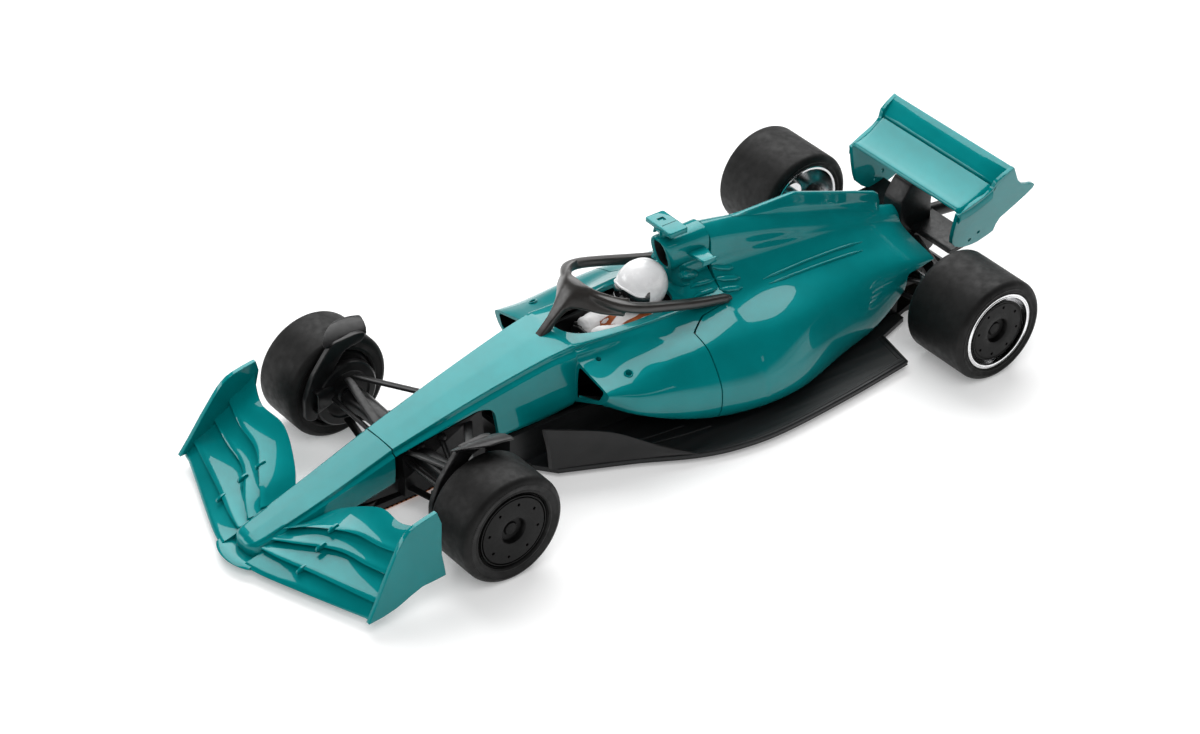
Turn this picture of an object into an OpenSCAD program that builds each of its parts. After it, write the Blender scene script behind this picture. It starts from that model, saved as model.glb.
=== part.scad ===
// Slot racing car with open wheels, a model at one to thirty-two.
// X forward, Y left, Z up, in millimetres.
// Origin on the ground in the middle of the overall length and width.

/* [Overall] */
// Distance between the front and rear axles
wheelbase = 112; // [107:1:117]
// Width over the two sidepods
body_w = 43.2; // [41:0.4:45.6]
// Height of the air intake above the ground
body_h = 34; // [32:0.5:36]
// Thickness of the moulded body walls
wall = 0.9; // [0.7:0.1:1.1]

/* [Wheels] */
// Radius of the front tyres
front_tyre_r = 10.6; // [10.2:0.1:11]
// Width of each front tyre
front_tyre_w = 11.1; // [9.5:0.1:11.5]
// Width over the front tyres
front_over_w = 64.2; // [63:0.2:67]
// Radius of the rear tyres
rear_tyre_r = 10.5; // [10.2:0.1:11]
// Width of each rear tyre
rear_tyre_w = 15.2; // [13:0.1:15.4]
// Width over the rear tyres
rear_over_w = 71; // [70.6:0.2:74]
// Radius of both axles
axle_r = 1.19; // [1:0.01:1.4]

/* [Wings] */
// Span over the front wing endplates
front_wing_w = 60.2; // [56:0.2:63]
// Span over the rear wing endplates
rear_wing_w = 34.4; // [31:0.2:37]
// Thickness of the wing plates
plate_t = 0.9; // [0.7:0.1:1.2]

/* [Floor] */
// Width over the floor edges
floor_w = 54; // [50:0.4:56]
// Clearance under the floor
floor_z = 1.1; // [0.8:0.1:1.5]

/* [Guide] */
// Distance from the guide pivot to the front axle
guide_lead = 10; // [9:0.5:11]
// Radius of the guide pivot pin
guide_pin_r = 1.5; // [1.2:0.1:1.8]
// Length of the blade that runs in the slot
guide_blade = 17; // [14:0.5:18]

/* [Hidden] */
// Running clearance of a pin in its bore
fit = 0.05;
// Points between two keys of a body section
n_sub = 3;
kl = wheelbase / 112;
kw = body_w / 43.2;
kh = body_h / 34;
front_x = 49.5 * kl;
rear_x = -62.5 * kl;
front_in = front_over_w / 2 - front_tyre_w;
rear_in = rear_over_w / 2 - rear_tyre_w;
guide_x = front_x + guide_lead;
// Rear end of the braids, and the front edge of the pan's tongue behind it.
guide_back = guide_x - guide_blade + 2.4;
tongue_x = guide_back - 0.3;
black = "#1c1c1e";
teal = "#00807f";
steel = "#b9bcc0";

// ---- maths for the moulded shells ----

// Cubic from p to q with end slopes m and n.
function herm(p, q, m, n, t) =
    (2 * t * t * t - 3 * t * t + 1) * p + (t * t * t - 2 * t * t + t) * m
    + (3 * t * t - 2 * t * t * t) * q + (t * t * t - t * t) * n;

// Row of a table that holds x, where x falls from row to row.
function row_at(T, x, i = 0) =
    i >= len(T) - 2 || x >= T[i + 1][0] ? i : row_at(T, x, i + 1);

function row_slope(T, i) =
    let (a = max(0, i - 1), b = min(len(T) - 1, i + 1))
    (T[b][1] - T[a][1]) / (T[b][0] - T[a][0]);

// Section keys at x.
function keys_at(T, x) =
    let (i = row_at(T, x), h = T[i + 1][0] - T[i][0])
    herm(T[i][1], T[i + 1][1], row_slope(T, i) * h, row_slope(T, i + 1) * h, (x - T[i][0]) / h);

// Half outline through the keys, straight at soft 0 and rounded at soft 1.
function half_line(K, soft) = concat(
    [for (i = [0 : len(K) - 2]) for (j = [0 : n_sub - 1])
        let (a = i == 0 ? [-K[1][0], K[1][1]] : K[i - 1], b = K[i], c = K[i + 1],
             d = i == len(K) - 2 ? K[i + 1] : K[i + 2])
        herm(b, c, (c - b) * (1 - soft) + (c - a) / 2 * soft,
             (c - b) * (1 - soft) + (d - b) / 2 * soft, j / n_sub)],
    [K[len(K) - 1]]);

// Half outline moved inward by t, carried down so that the shell is open below.
function inner_line(H, t) =
    let (n = len(H) - 1)
    concat([for (i = [0 : n])
        let (d = i == 0 ? [1, 0] : H[min(n, i + 1)] - H[i - 1], p = H[i] + t * [d[1], -d[0]] / norm(d))
        [i == 0 ? 0 : max(0.1, p[0]), p[1]]],
        [[H[n][0] - t, H[n][1] - 6]]);

// Closed ring at x from a half outline.
function ring(x, H) = concat(
    [for (p = H) [x * kl, p[0] * kw, p[1] * kh]],
    [for (i = [len(H) - 1 : -1 : 1]) [x * kl, -H[i][0] * kw, H[i][1] * kh]]);

// Closed skin over rings of equal length, each behind the last.
module loft(R) {
    n = len(R[0]);
    m = len(R);
    polyhedron(
        points = [for (r = R) each r],
        faces = concat(
            [[for (i = [0 : n - 1]) i]],
            [[for (i = [n - 1 : -1 : 0]) (m - 1) * n + i]],
            [for (r = [0 : m - 2]) for (i = [0 : n - 1])
                let (j = (i + 1) % n) each [
                    [r * n + i, (r + 1) * n + i, (r + 1) * n + j],
                    [r * n + i, (r + 1) * n + j, r * n + j]]]),
        convexity = 8);
}

function steps(a, b, n) = [for (i = [0 : n]) a + (b - a) * i / n];

// ---- section keys, top centre to lower lip, each [y, z] ----

nose_rows = [
    [83.6, [[0, 3.5], [1.2, 3.4], [1.6, 3.1], [1.8, 2.8], [1.9, 2.5], [1.9, 2.2], [1.8, 1.9], [1.4, 1.6]]],
    [82.4, [[0, 4.4], [2.4, 4.2], [2.9, 3.7], [3.1, 3.2], [3.2, 2.7], [3.2, 2.2], [3.1, 1.6], [2.6, 1.3]]],
    [79, [[0, 5.7], [2.9, 5.5], [3.6, 4.8], [3.8, 4.2], [3.9, 3.5], [3.9, 2.7], [3.8, 1.9], [3.2, 1.5]]],
    [70, [[0, 9.1], [3.4, 9], [4.2, 8.2], [4.4, 7.2], [4.5, 6.2], [4.6, 5.2], [4.5, 4.2], [3.9, 3.4]]],
    [55.6, [[0, 14.1], [3.8, 13.9], [4.9, 12.8], [5, 11.6], [5.1, 10.3], [5.1, 9], [5, 7.6], [4.4, 6.7]]]
];
mono_rows = [
    [55.4, [[0, 14.1], [3.8, 14], [4.9, 12.9], [5, 11.6], [5.1, 10.3], [5.1, 9], [5, 7.6], [4.4, 6.7]]],
    [38, [[0, 19], [4.9, 18.7], [6.2, 17.3], [6.4, 15.5], [6.7, 13.5], [6.9, 11.5], [7, 10], [6.6, 9.2]]],
    [24, [[0, 22.1], [5.9, 21.8], [7.2, 20.3], [7.5, 18], [7.7, 15.5], [7.8, 13], [7.8, 10.8], [7.4, 9.9]]],
    [17.8, [[0, 23], [6.4, 22.7], [7.8, 21], [8, 18.5], [8.1, 16], [8.1, 13.5], [8, 11.5], [7.6, 10.6]]]
];
pod_rows = [
    [17.4, [[0, 22.9], [6.4, 22.7], [7.6, 21.4], [8.3, 19.9], [16, 18], [17, 16.9], [14.8, 14.4], [7.6, 11.6]]],
    [11, [[0, 22.7], [6.5, 22.4], [7.8, 21.2], [9, 19.8], [16, 17.6], [18.6, 15.4], [17.6, 11.2], [8, 8.6]]],
    [3, [[0, 22.4], [6.8, 22.1], [8.4, 21.2], [10.4, 20.1], [16.4, 18.1], [20, 14], [19, 7.8], [9, 5.6]]],
    [-6, [[0, 22.2], [7.2, 22], [9.2, 21], [12, 19.8], [17, 17.9], [21.2, 11.8], [20.2, 5.2], [10, 3.6]]],
    [-16.6, [[0, 21.7], [6.8, 21.5], [8, 20.9], [9.6, 20.2], [17, 17], [21.6, 10.6], [21.2, 4], [11, 3]]]
];
tail_rows = [
    [-16.8, [[0, 33.5], [3, 31.6], [3.9, 25], [7.8, 20.9], [16.8, 17.2], [21.6, 10.6], [21.2, 4], [11, 3]]],
    [-27, [[0, 31.4], [2.9, 29.3], [4.4, 24], [8, 20.2], [18, 15.4], [20.6, 10], [20.4, 3.6], [11, 2.8]]],
    [-40, [[0, 27.8], [2.6, 26], [4.6, 22.3], [8.2, 19.4], [15.4, 14.2], [17.2, 9.4], [16.6, 3.6], [10, 2.8]]],
    [-52, [[0, 24], [2.4, 22.8], [4.4, 20.6], [7.6, 18.4], [13.4, 14.6], [14.6, 10.4], [13.8, 4.6], [8, 3.4]]],
    [-61, [[0, 21], [1.8, 20], [3.4, 18.4], [6.5, 17], [12.6, 14.6], [13.4, 12.4], [11.4, 8.6], [6, 7.4]]],
    [-66.3, [[0, 19.4], [1.5, 18.6], [2.8, 16.4], [6, 15.2], [12, 13.8], [12.2, 12.6], [10, 9.8], [6, 9]]]
];

// Outer rings for one table at the given stations.
function skin(T, X, soft) = [for (x = X) ring(x, half_line(keys_at(T, x), soft))];
// Inner rings, one wall behind the outer ones.
function lining(T, X, soft, dx) = [for (x = X) ring(x + dx, inner_line(half_line(keys_at(T, x), soft), wall))];

// ---- small helpers ----

module mirrored() {
    children();
    mirror([0, 1, 0]) children();
}

module slab(P, z, t) {
    translate([0, 0, z]) linear_extrude(t) polygon(P);
}

// Upright plate with its outline in X and Z, leaning outward by lean per millimetre of height.
module side_plate(P, y, t, lean) {
    n = len(P);
    polyhedron(
        points = concat([for (p = P) [p[0], y + t + lean * p[1], p[1]]], [for (p = P) [p[0], y + lean * p[1], p[1]]]),
        faces = concat([[for (i = [0 : n - 1]) i]], [[for (i = [n - 1 : -1 : 0]) n + i]],
            [for (i = [0 : n - 1]) let (j = (i + 1) % n) [i, n + i, n + j, j]]),
        convexity = 4);
}

module bar(a, b, r, s) {
    hull() {
        translate(a) scale([1, 1, s]) sphere(r, $fn = 8);
        translate(b) scale([1, 1, s]) sphere(r, $fn = 8);
    }
}

// Round post or hole along Y, exact.
module round_y(x, y0, y1, z, r) {
    translate([x, y0, z]) rotate([-90, 0, 0]) cylinder(h = y1 - y0, r = r, $fn = 96);
}

module prism(P, z0, z1) {
    hull() {
        translate([0, 0, z0]) linear_extrude(z1 - z0) polygon([for (p = P) [p[0] * kl, p[1] * kw]]);
    }
}

// ---- body mouldings ----

module nose_cone() {
    color(teal) difference() {
        loft(skin(nose_rows, [83.6, 83, 82.4, 79, 74.5, 70, 63, 55.6], 0.3));
        loft(concat(lining(nose_rows, [83, 82.4, 79, 74.5, 70, 63], 0.3, -wall),
            lining(nose_rows, [55.6], 0.3, -1)));
    }
}

// Cuts that both front body lining and skin share: cockpit, suspension, inlets, holes.
module body_cuts() {
    hull() {
        translate([16.6 * kl, 0, 14 * kh]) cylinder(h = 16, r = 1.4, $fn = 32);
        for (s = [-1, 1]) translate([5 * kl, s * 2.6 * kw, 14 * kh]) cylinder(h = 16, r = 2.7, $fn = 32);
        for (s = [-1, 1]) translate([-6.2 * kl, s * 2.4 * kw, 14 * kh]) cylinder(h = 16, r = 2.8, $fn = 32);
    }
    hull() {
        for (p = [[54.4, 13.2], [38.6, 16.3], [36, 15], [34.7, 9.9], [34.2, 4], [54.4, 4]])
            translate([p[0] * kl, 0, p[1] * kh]) rotate([90, 0, 0]) cylinder(h = 30, r = 0.4, $fn = 16, center = true);
    }
    // room for the guide post
    hull() translate([50 * kl, -4, 0]) cube([8, 8, 7.4 * kh]);
    for (s = [-1, 1]) {
        hull() {
            for (p = [[8.8, 12.8], [8.8, 18.9], [15.4, 17.3], [14.3, 15.3]])
                translate([14 * kl, s * p[0] * kw, p[1] * kh]) rotate([0, 90, 0]) cylinder(h = 6, r = 0.4, $fn = 16);
        }
        hull() translate([11 * kl, s * 14.2 * kw, 12 * kh]) cylinder(h = 9, r = 0.55, $fn = 24);
        hull() translate([13.7 * kl, s * 8.8 * kw, 16 * kh]) rotate([-s * 25, 0, 0]) cylinder(h = 9, r = 0.5, $fn = 24);
        prism([[-5.9, s * 40], [-5.9, s * 12.2], [-9, s * 10.2], [-18, s * 8.7], [-18, s * 40]], -2, 40);
    }
}

module front_body() {
    xm = [55.4, 50, 44, 38, 31, 24, 17.8];
    xp = [17.4, 15, 11, 7, 3, -1.5, -6, -11, -16.6];
    color(teal) difference() {
        loft(concat(skin(mono_rows, xm, 0.3), skin(pod_rows, xp, 0.8)));
        loft(concat(lining(mono_rows, xm, 0.3, -wall), lining(pod_rows, xp, 0.8, -wall)));
        body_cuts();
    }
}

module engine_cover() {
    xp = [-6.15, -9, -12.5, -16.6];
    xt = [-16.8, -20, -25, -30, -35, -40, -46, -52, -57, -61, -66.3];
    color(teal) {
        difference() {
            loft(concat(skin(pod_rows, xp, 0.8), skin(tail_rows, xt, 0.85)));
            loft(concat(lining(pod_rows, [-6.15], 0.8, 2), lining(pod_rows, xp, 0.8, -wall),
                lining(tail_rows, xt, 0.85, -wall)));
            // room for the rear axle and arms
            hull() for (p = [[-58.4, 13], [-80, 13], [-80, 0], [-58.4, 0]])
                translate([p[0] * kl, 0, p[1] * kh]) rotate([90, 0, 0]) cylinder(h = 60, r = 0.6, $fn = 16, center = true);
            for (s = [-1, 1]) {
                prism([[-16.75, 0], [-16.75, s * 9.15], [-9, s * 10.45], [-9, 0]], -2, 40);
                prism([[-9, 0], [-9, s * 10.45], [-6, s * 12.45], [-4, s * 14], [-4, 0]], -2, 40);
                // slots on the shoulder behind the cockpit
                for (i = [0 : 2]) hull() for (e = [0, 1])
                    translate([(-21 - 2.6 * i) * kl, s * (8.5 + 2.6 * e) * kw, 23 * kh])
                        cylinder(h = 6, r = 0.3, $fn = 12);
            }
        }
        fin = [[-22, 29], [-25.3, 31.9], [-39.5, 31.8], [-61.6, 24.1], [-61.2, 19.4], [-40, 26.6], [-26, 30]];
        translate([0, 0.5, 0]) rotate([90, 0, 0]) linear_extrude(1)
            polygon([for (p = fin) [p[0] * kl, p[1] * kh]]);
    }
}

module airbox() {
    rows = [
        [-8.9, [[0, 33.8], [2.2, 33.2], [3, 31], [3, 28.5], [3.2, 26], [4, 24], [5.6, 22.6], [5.2, 22.25]]],
        [-16.5, [[0, 33.5], [2.2, 33], [3.1, 31.2], [3.4, 28.5], [3.9, 25], [5.4, 22.6], [6.6, 21.95], [6, 21.8]]]
    ];
    lip = [
        [-5.6, [[0, 33.8], [1.6, 33.6], [2.4, 33], [2.8, 32.6], [2.8, 32.4], [2.4, 32.2], [1.6, 32], [0.8, 31.9]]],
        [-9.2, [[0, 33.9], [2.2, 33.2], [3, 31.6], [3.1, 30], [2.9, 28.8], [2.4, 28], [1.6, 27.6], [0.8, 27.4]]]
    ];
    color(teal) {
        difference() {
            union() {
                loft(skin(rows, [-8.9, -11, -13.5, -16.5], 0.8));
                loft(skin(lip, [-5.6, -6.8, -8, -9.2], 0.8));
            }
            hull() {
                for (s = [-1, 1]) translate([-4 * kl, s * 0.9, 31.8 * kh]) rotate([0, -90, 0])
                    cylinder(h = 9, r = 1.1, $fn = 32);
                translate([-4 * kl, 0, 29.6 * kh]) rotate([0, -90, 0]) cylinder(h = 9, r = 1.3, $fn = 32);
            }
        }
        for (s = [-1, 1]) {
            hull() {
                translate([-12.2 * kl, s * 2.6, 29.6 * kh]) sphere(0.35, $fn = 6);
                translate([-16 * kl, s * 2.6, 29.6 * kh]) sphere(0.35, $fn = 6);
                translate([-14.2 * kl, s * 6.2, 30 * kh]) sphere(0.3, $fn = 6);
                translate([-15.9 * kl, s * 6.2, 30 * kh]) sphere(0.3, $fn = 6);
            }
            hull() {
                translate([-11 * kl, s * 3, 25.6 * kh]) sphere(1, $fn = 10);
                translate([-10.4 * kl, s * 4.6, 26.6 * kh]) sphere(0.9, $fn = 10);
            }
            hull() translate([-10.4 * kl, s * 4.7, 26.6 * kh]) rotate([0, 60, 0]) cylinder(h = 1.5, r = 0.55, $fn = 10);
            hull() translate([-12.5 * kl, s * 3.4, 24.5 * kh]) sphere(1.3, $fn = 10);
        }
    }
}

module camera_pod() {
    color(teal) {
        translate([-10.6 * kl, -0.6, 33.95 * kh]) cube([3.6 * kl, 1.2, 1.6 * kh]);
        translate([-10.8 * kl, -3.7, 35.3 * kh]) cube([4.4 * kl, 7.4, 0.9]);
        mirrored() translate([-10.8 * kl, 2.9, 34.7 * kh]) cube([4.2 * kl, 0.8, 0.9 * kh]);
    }
}

// ---- wings ----

// One groove line of the front wing, [x, z] at five stations from nose to endplate.
wing_y = [4.9, 8, 15, 22, 28.6];
wing_lines = [
    [[86.9, 2.4], [85.7, 2.3], [83.1, 2.3], [80.4, 2.3], [77.9, 2.4]],
    [[83.1, 3.6], [82.2, 3.7], [80, 3.9], [78, 4], [76.1, 4.1]],
    [[81, 4.6], [79, 5.6], [74.8, 6.5], [73.4, 6.9], [71.8, 7.4]],
    [[78.4, 5.9], [75.6, 7.7], [71.8, 9], [70.6, 9.7], [68.8, 10.8]],
    [[71, 6.2], [68.2, 9.3], [65.7, 12.4], [66, 13.4], [63.4, 15.6]]
];
// Step of the top face at each groove.
step_h = 0.55;
// Inner face of the front endplates at the ground, and its lean.
plate_y = front_wing_w / 2 - plate_t + 0.3;
plate_lean = -0.13;

function wing_ring(i) =
    let (y = 4.75 + (wing_y[i] - 4.9) * (front_wing_w / 2 - 1.5 - 4.75) / 23.7,
         L = [for (g = wing_lines) g[i]], t = plate_t)
    [for (p = concat(
        [[L[0][0], L[0][1] + 0.3], [L[0][0] - 0.8, L[0][1] + t]],
        [for (g = [1 : 3]) each [[L[g][0] + 0.35, L[g][1]], [L[g][0], L[g][1] + step_h]]],
        [[L[4][0], L[4][1]], [L[4][0] + 0.2, L[4][1] - t]],
        [for (g = [3 : -1 : 1]) [L[g][0], L[g][1] - t * 1.1]],
        [[L[0][0] - 0.9, L[0][1] - t * 0.6]]))
        [p[0] * kl, i == 4 ? plate_y - 0.02 + plate_lean * p[1] * kh : y, p[1] * kh]];

module front_wing() {
    color(teal) {
        mirrored() loft([for (i = [4 : -1 : 0]) wing_ring(i)]);
        // main plane across the nose
        for (s = [0, 1]) mirror([0, s, 0]) hull() {
            translate([88.2 * kl, 0, 2.5 * kh]) sphere(0.6, $fn = 10);
            translate([86.4 * kl, 5, 2.5 * kh]) sphere(0.55, $fn = 10);
            translate([83.6 * kl, 5, 3 * kh]) sphere(0.6, $fn = 10);
            translate([84.8 * kl, 0, 2.7 * kh]) sphere(0.6, $fn = 10);
        }
        // slot separators
        mirrored() for (p = [[77.6, 13, 5.9], [76.6, 21, 6.1], [73.6, 11, 8.3], [71.8, 19, 9.5]]) hull() {
            translate([p[0] * kl, p[1], p[2] * kh]) sphere(0.4, $fn = 6);
            translate([(p[0] - 3) * kl, p[1] + 0.2, (p[2] + 1.3) * kh]) sphere(0.4, $fn = 6);
        }
    }
}

module front_wing_endplates() {
    P = [[78.8, 2.5], [75.6, 7.8], [71.8, 14.4], [69.4, 17], [66.4, 18], [63.4, 18.4], [62.6, 17],
        [63, 10.2], [62.5, 5.8], [67.4, 5.4], [72.7, 3.4]];
    color(teal) mirrored()
        side_plate([for (p = P) [p[0] * kl, p[1] * kh]], plate_y, plate_t, plate_lean);
}

module rear_wing() {
    half = rear_wing_w / 2 - plate_t - 0.7;
    main = [[-68.9, 25.2], [-69.4, 25.9], [-72, 26.9], [-76, 27.9], [-76.2, 27.2], [-72, 25.9], [-69.6, 24.7]];
    flap = [[-76.6, 27.6], [-76.9, 28.4], [-78.6, 29.6], [-80.6, 31.2], [-80.9, 30.6], [-79, 28.8], [-77.4, 27.4]];
    color(teal) {
        for (P = [main, flap]) translate([0, half, 0]) rotate([90, 0, 0]) linear_extrude(2 * half)
            polygon([for (p = P) [p[0] * kl, p[1] * kh]]);
        for (y = [-8, 8]) translate([-77.2 * kl, y - 0.3, 27.3 * kh]) cube([1.6 * kl, 0.6, 0.7 * kh]);
    }
}

module rear_wing_endplates() {
    P = [[-68.2, 26.2], [-72.4, 28.1], [-76.6, 29.5], [-80.8, 31.4], [-84.6, 28.4], [-88.8, 23.7], [-84.9, 20.8],
        [-80.9, 18.5], [-80.3, 15.6], [-76.5, 14.3], [-73, 14.4], [-67.7, 16.8]];
    lean = 0.045;
    color(teal) mirrored()
        side_plate([for (p = P) [p[0] * kl, p[1] * kh]], rear_wing_w / 2 - plate_t - lean * 31.4 * kh, plate_t, lean);
}

module rear_pylon() {
    color(black) {
        // crash box on the diffuser
        translate([0, 2.3, 0]) rotate([90, 0, 0]) linear_extrude(4.6)
            polygon([for (p = [[-69.4, 13.4], [-69.4, 5.82], [-73.8, 7.6], [-75.4, 8.6], [-75.4, 12.6]]) [p[0] * kl, p[1] * kh]]);
        // post up to the wing
        translate([0, 1.5, 0]) rotate([90, 0, 0]) linear_extrude(3)
            polygon([for (p = [[-69.6, 12], [-66.8, 13.4], [-66.8, 20.6], [-69.4, 24.5], [-74.2, 25.9], [-73.4, 19], [-74, 12]])
                [p[0] * kl, p[1] * kh]]);
        // tail pipe
        translate([-81 * kl, 0, 16 * kh]) rotate([0, 90, 0]) cylinder(h = 14 * kl, r = 1.25, $fn = 96);
        // lower blade between the endplates
        translate([-73.4 * kl, -rear_wing_w / 2 + 2.1, 18.4 * kh]) cube([4.6 * kl, rear_wing_w - 4.2, 0.9]);
    }
}

// ---- halo ----

// Centre line of one side, from the front of the hoop to its rear foot.
halo_path = [[13.6, 0, 30.9], [12.9, 3.2, 30.6], [10.6, 6, 29.8], [6.6, 8, 28.3], [1, 9, 26.3], [-5.5, 9.2, 24.3],
    [-11.5, 9, 22.6], [-16.4, 8.8, 21.25]];
halo_w = [3, 2.7, 2.2, 1.9, 1.8, 1.8, 1.9, 1.8];

module halo() {
    color(black) {
        mirrored() for (i = [0 : len(halo_path) - 2]) hull() for (k = [i, i + 1])
            translate([halo_path[k][0] * kl, halo_path[k][1] * kw, halo_path[k][2] * kh])
                scale([1, 1, 0.5]) sphere(halo_w[k] / 2, $fn = 12);
        for (q = [[[13.4, 30.7, 2.2], [16.6, 27.6, 1.1]], [[16.6, 27.6, 1.1], [20.4, 24, 1]], [[20.4, 24, 1], [21.5, 23.2, 1]]])
            hull() for (p = q)
                translate([p[0] * kl, 0, p[1] * kh]) scale([0.8, p[2] * 0.75, 0.6]) sphere(1, $fn = 12);
    }
}

// ---- cockpit and driver ----

module cockpit_tray() {
    color(black) difference() {
        hull() {
            translate([12.6 * kl, 0, 11 * kh]) cylinder(h = 9.4 * kh, r = 4.4, $fn = 32);
            for (s = [-1, 1]) translate([-5.8 * kl, s * 3 * kw, 9 * kh]) cylinder(h = 11.4 * kh, r = 3, $fn = 32);
        }
        hull() {
            translate([12.6 * kl, 0, 12 * kh]) cylinder(h = 12 * kh, r = 3.7, $fn = 32);
            for (s = [-1, 1]) translate([-5.8 * kl, s * 3 * kw, 10 * kh]) cylinder(h = 14 * kh, r = 2.2, $fn = 32);
        }
    }
}

// Rounded ring of the driver's torso or helmet at height z, [x, y] radii a and b.
function oval(cx, z, a, b, n, p) = [for (i = [0 : n - 1])
    let (u = 360 * i / n, c = cos(u), s = -sin(u))
    [cx * kl + a * sign(c) * pow(abs(c), p), b * sign(s) * pow(abs(s), p), z * kh]];

module driver_suit() {
    color("#e6e6e4") {
        loft([for (r = [[-4.6, 19.9, 1.9, 2.2], [-4.3, 19.2, 3, 3.4], [-3.4, 17.6, 3.4, 4.4], [-2.6, 14.5, 3.3, 4.4],
            [-1.6, 11.4, 3.2, 4.2]]) oval(r[0], r[1], r[2], r[3], 28, 0.85)]);
        for (s = [-1, 1]) {
            bar([-2 * kl, s * 3.4, 17.4 * kh], [3.2 * kl, s * 3, 17 * kh], 1.15, 1);
            bar([3.2 * kl, s * 3, 17 * kh], [6.5 * kl, s * 2, 17.8 * kh], 0.95, 1);
        }
    }
}

// Helmet radii at a fraction t of its height.
helm_z0 = 20.1;
helm_z1 = 29.6;
helm_n = 28;
function helm_ring(t, g) =
    let (q = 2 * t - 0.9, w = sqrt(max(0.02, 1 - q * q / 1.22)))
    oval(-3.3, helm_z0 + (helm_z1 - helm_z0) * t, (5.2 * w + g), (4.35 * w + g), helm_n, 0.95);

module driver_helmet() {
    color("#efefee") loft([for (t = [1, 0.97, 0.9, 0.8, 0.68, 0.56, 0.46, 0.36, 0.26, 0.14, 0]) helm_ring(t, 0)]);
}

// Visor band round the front of the helmet, held just off its shell.
module helmet_visor() {
    zs = [0.26, 0.36, 0.46];
    inner = [for (t = zs) helm_ring(t, 0.05)];
    outer = [for (t = zs) helm_ring(t, 0.5)];
    idx = [for (i = [-7 : 7]) (i + helm_n) % helm_n];
    color(black) loft([for (i = idx) concat([for (k = [0 : 2]) outer[k][i]], [for (k = [2 : -1 : 0]) inner[k][i]])]);
}

module seat_belts() {
    color("#9a4a1e") for (s = [-1, 1]) for (q = [[[-1.1, 2.2, 19.5], [1.2, 1.5, 17.2]], [[1.2, 1.5, 17.2], [2.3, 0.9, 14.4]]])
        hull() for (p = q) translate([(p[0] + 0.55) * kl, s * p[1], p[2] * kh]) cube([0.35, 0.9, 0.35], center = true);
}

module driver_gloves() {
    color(black) for (s = [-1, 1]) bar([8.35 * kl, s * 2, 18.2 * kh], [9.1 * kl, s * 2.2, 18.6 * kh], 0.8, 1);
}

module steering_wheel() {
    color(black) {
        translate([11 * kl, 0, 19 * kh]) rotate([0, -65, 0]) hull() for (s = [-1, 1])
            translate([0, s * 1.6, 0]) cylinder(h = 0.7, r = 0.95, $fn = 32);
        translate([11.3 * kl, 0, 18.9 * kh]) rotate([0, 112, 0]) cylinder(h = 3.2, r = 0.5, $fn = 24);
    }
}

// ---- chassis ----

floor_line = [[28, 9.2], [25, 12.8], [17, 16.3], [10.9, 19], [1.4, 23.8], [-6.8, 26.2], [-17.1, 27], [-34.3, 25.7],
    [-50.6, 23.7], [-52.6, 14.6], [-60, 12.2]];
function fx(P) = [for (p = P) [p[0] * kl, p[1] * floor_w / 54]];
function both(P) = concat(P, [for (i = [len(P) - 1 : -1 : 0]) [P[i][0], -P[i][1]]]);

module chassis_pan() {
    color(black) {
        difference() {
            union() {
                slab(both(fx(floor_line)), floor_z, 1);
                // front tongue under the nose
                slab(both([[tongue_x, 5.8 * kw], [36 * kl, 6.6 * kw], [27 * kl, 8.6 * kw]]), floor_z, 1);
                // side walls of the tub
                for (s = [-1, 1]) translate([-15 * kl, s * 6.9 * kw - 0.5, floor_z]) cube([47 * kl, 1, 7.6 * kh]);
                translate([31 * kl, -7 * kw, floor_z]) cube([1, 14 * kw, 7.6 * kh]);
                // boss of the display screw
                translate([22 * kl, 0, floor_z]) cylinder(h = 6, r = 2.6, $fn = 96);
                // bosses of the body screws
                for (x = [-13, 36]) translate([x * kl, 0, floor_z]) cylinder(h = 4, r = 2.2, $fn = 96);
            }
            translate([22 * kl, 0, floor_z - 1]) cylinder(h = 6, r = 1.25, $fn = 96);
        }
    }
}

module floor_fences() {
    low = [[25, 12.8], [18, 15.8], [10.9, 19], [1.4, 23.8]];
    top = [[28.3, 12.8, 12], [16.6, 17, 9.2], [9, 20.6, 5.6], [1.6, 24, 2.5]];
    color(black) mirrored() loft([for (i = [0 : 3]) let (a = [low[i][0] * kl, low[i][1] * floor_w / 54, floor_z + 1.02],
        b = [top[i][0] * kl, top[i][1] * floor_w / 54, top[i][2] * kh]) [b, a, a - [0, 0.9, 0], b - [0, 0.9, 0]]]);
}

module diffuser() {
    color(black) {
        translate([0, 10.5, 0]) rotate([90, 0, 0]) linear_extrude(21)
            polygon([for (p = [[-60.2, floor_z / kh], [-60.2, floor_z / kh + 1], [-74, 7.6], [-75, 7.2], [-74.2, 6.4]]) [p[0] * kl, p[1] * kh]]);
        for (y = [-9.6, -3.3, 3.3, 9.6]) translate([0, y + 0.4, 0]) rotate([90, 0, 0]) linear_extrude(0.8)
            polygon([for (p = [[-61, floor_z / kh + 0.2], [-73.8, 6.6], [-73.8, 3], [-68, floor_z / kh + 0.2]]) [p[0] * kl, p[1] * kh]]);
    }
}

// Block between the front arms, grown by g.
module bulkhead_core(g) {
    hull() {
        translate([37 * kl - g, -5.3 * kw - g, 3.7]) cube([1, 10.6 * kw + 2 * g, 15.6 * kh - 3.7 + g]);
        translate([36.2 * kl - g, -5.6 * kw - g, 3.7]) cube([17.6 * kl + 2 * g, 11.2 * kw + 2 * g, 4 + g]);
        translate([52.4 * kl, -3.9 * kw - g, 3.7]) cube([1, 7.8 * kw + 2 * g, 12 * kh - 3.7 + g]);
    }
}

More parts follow.
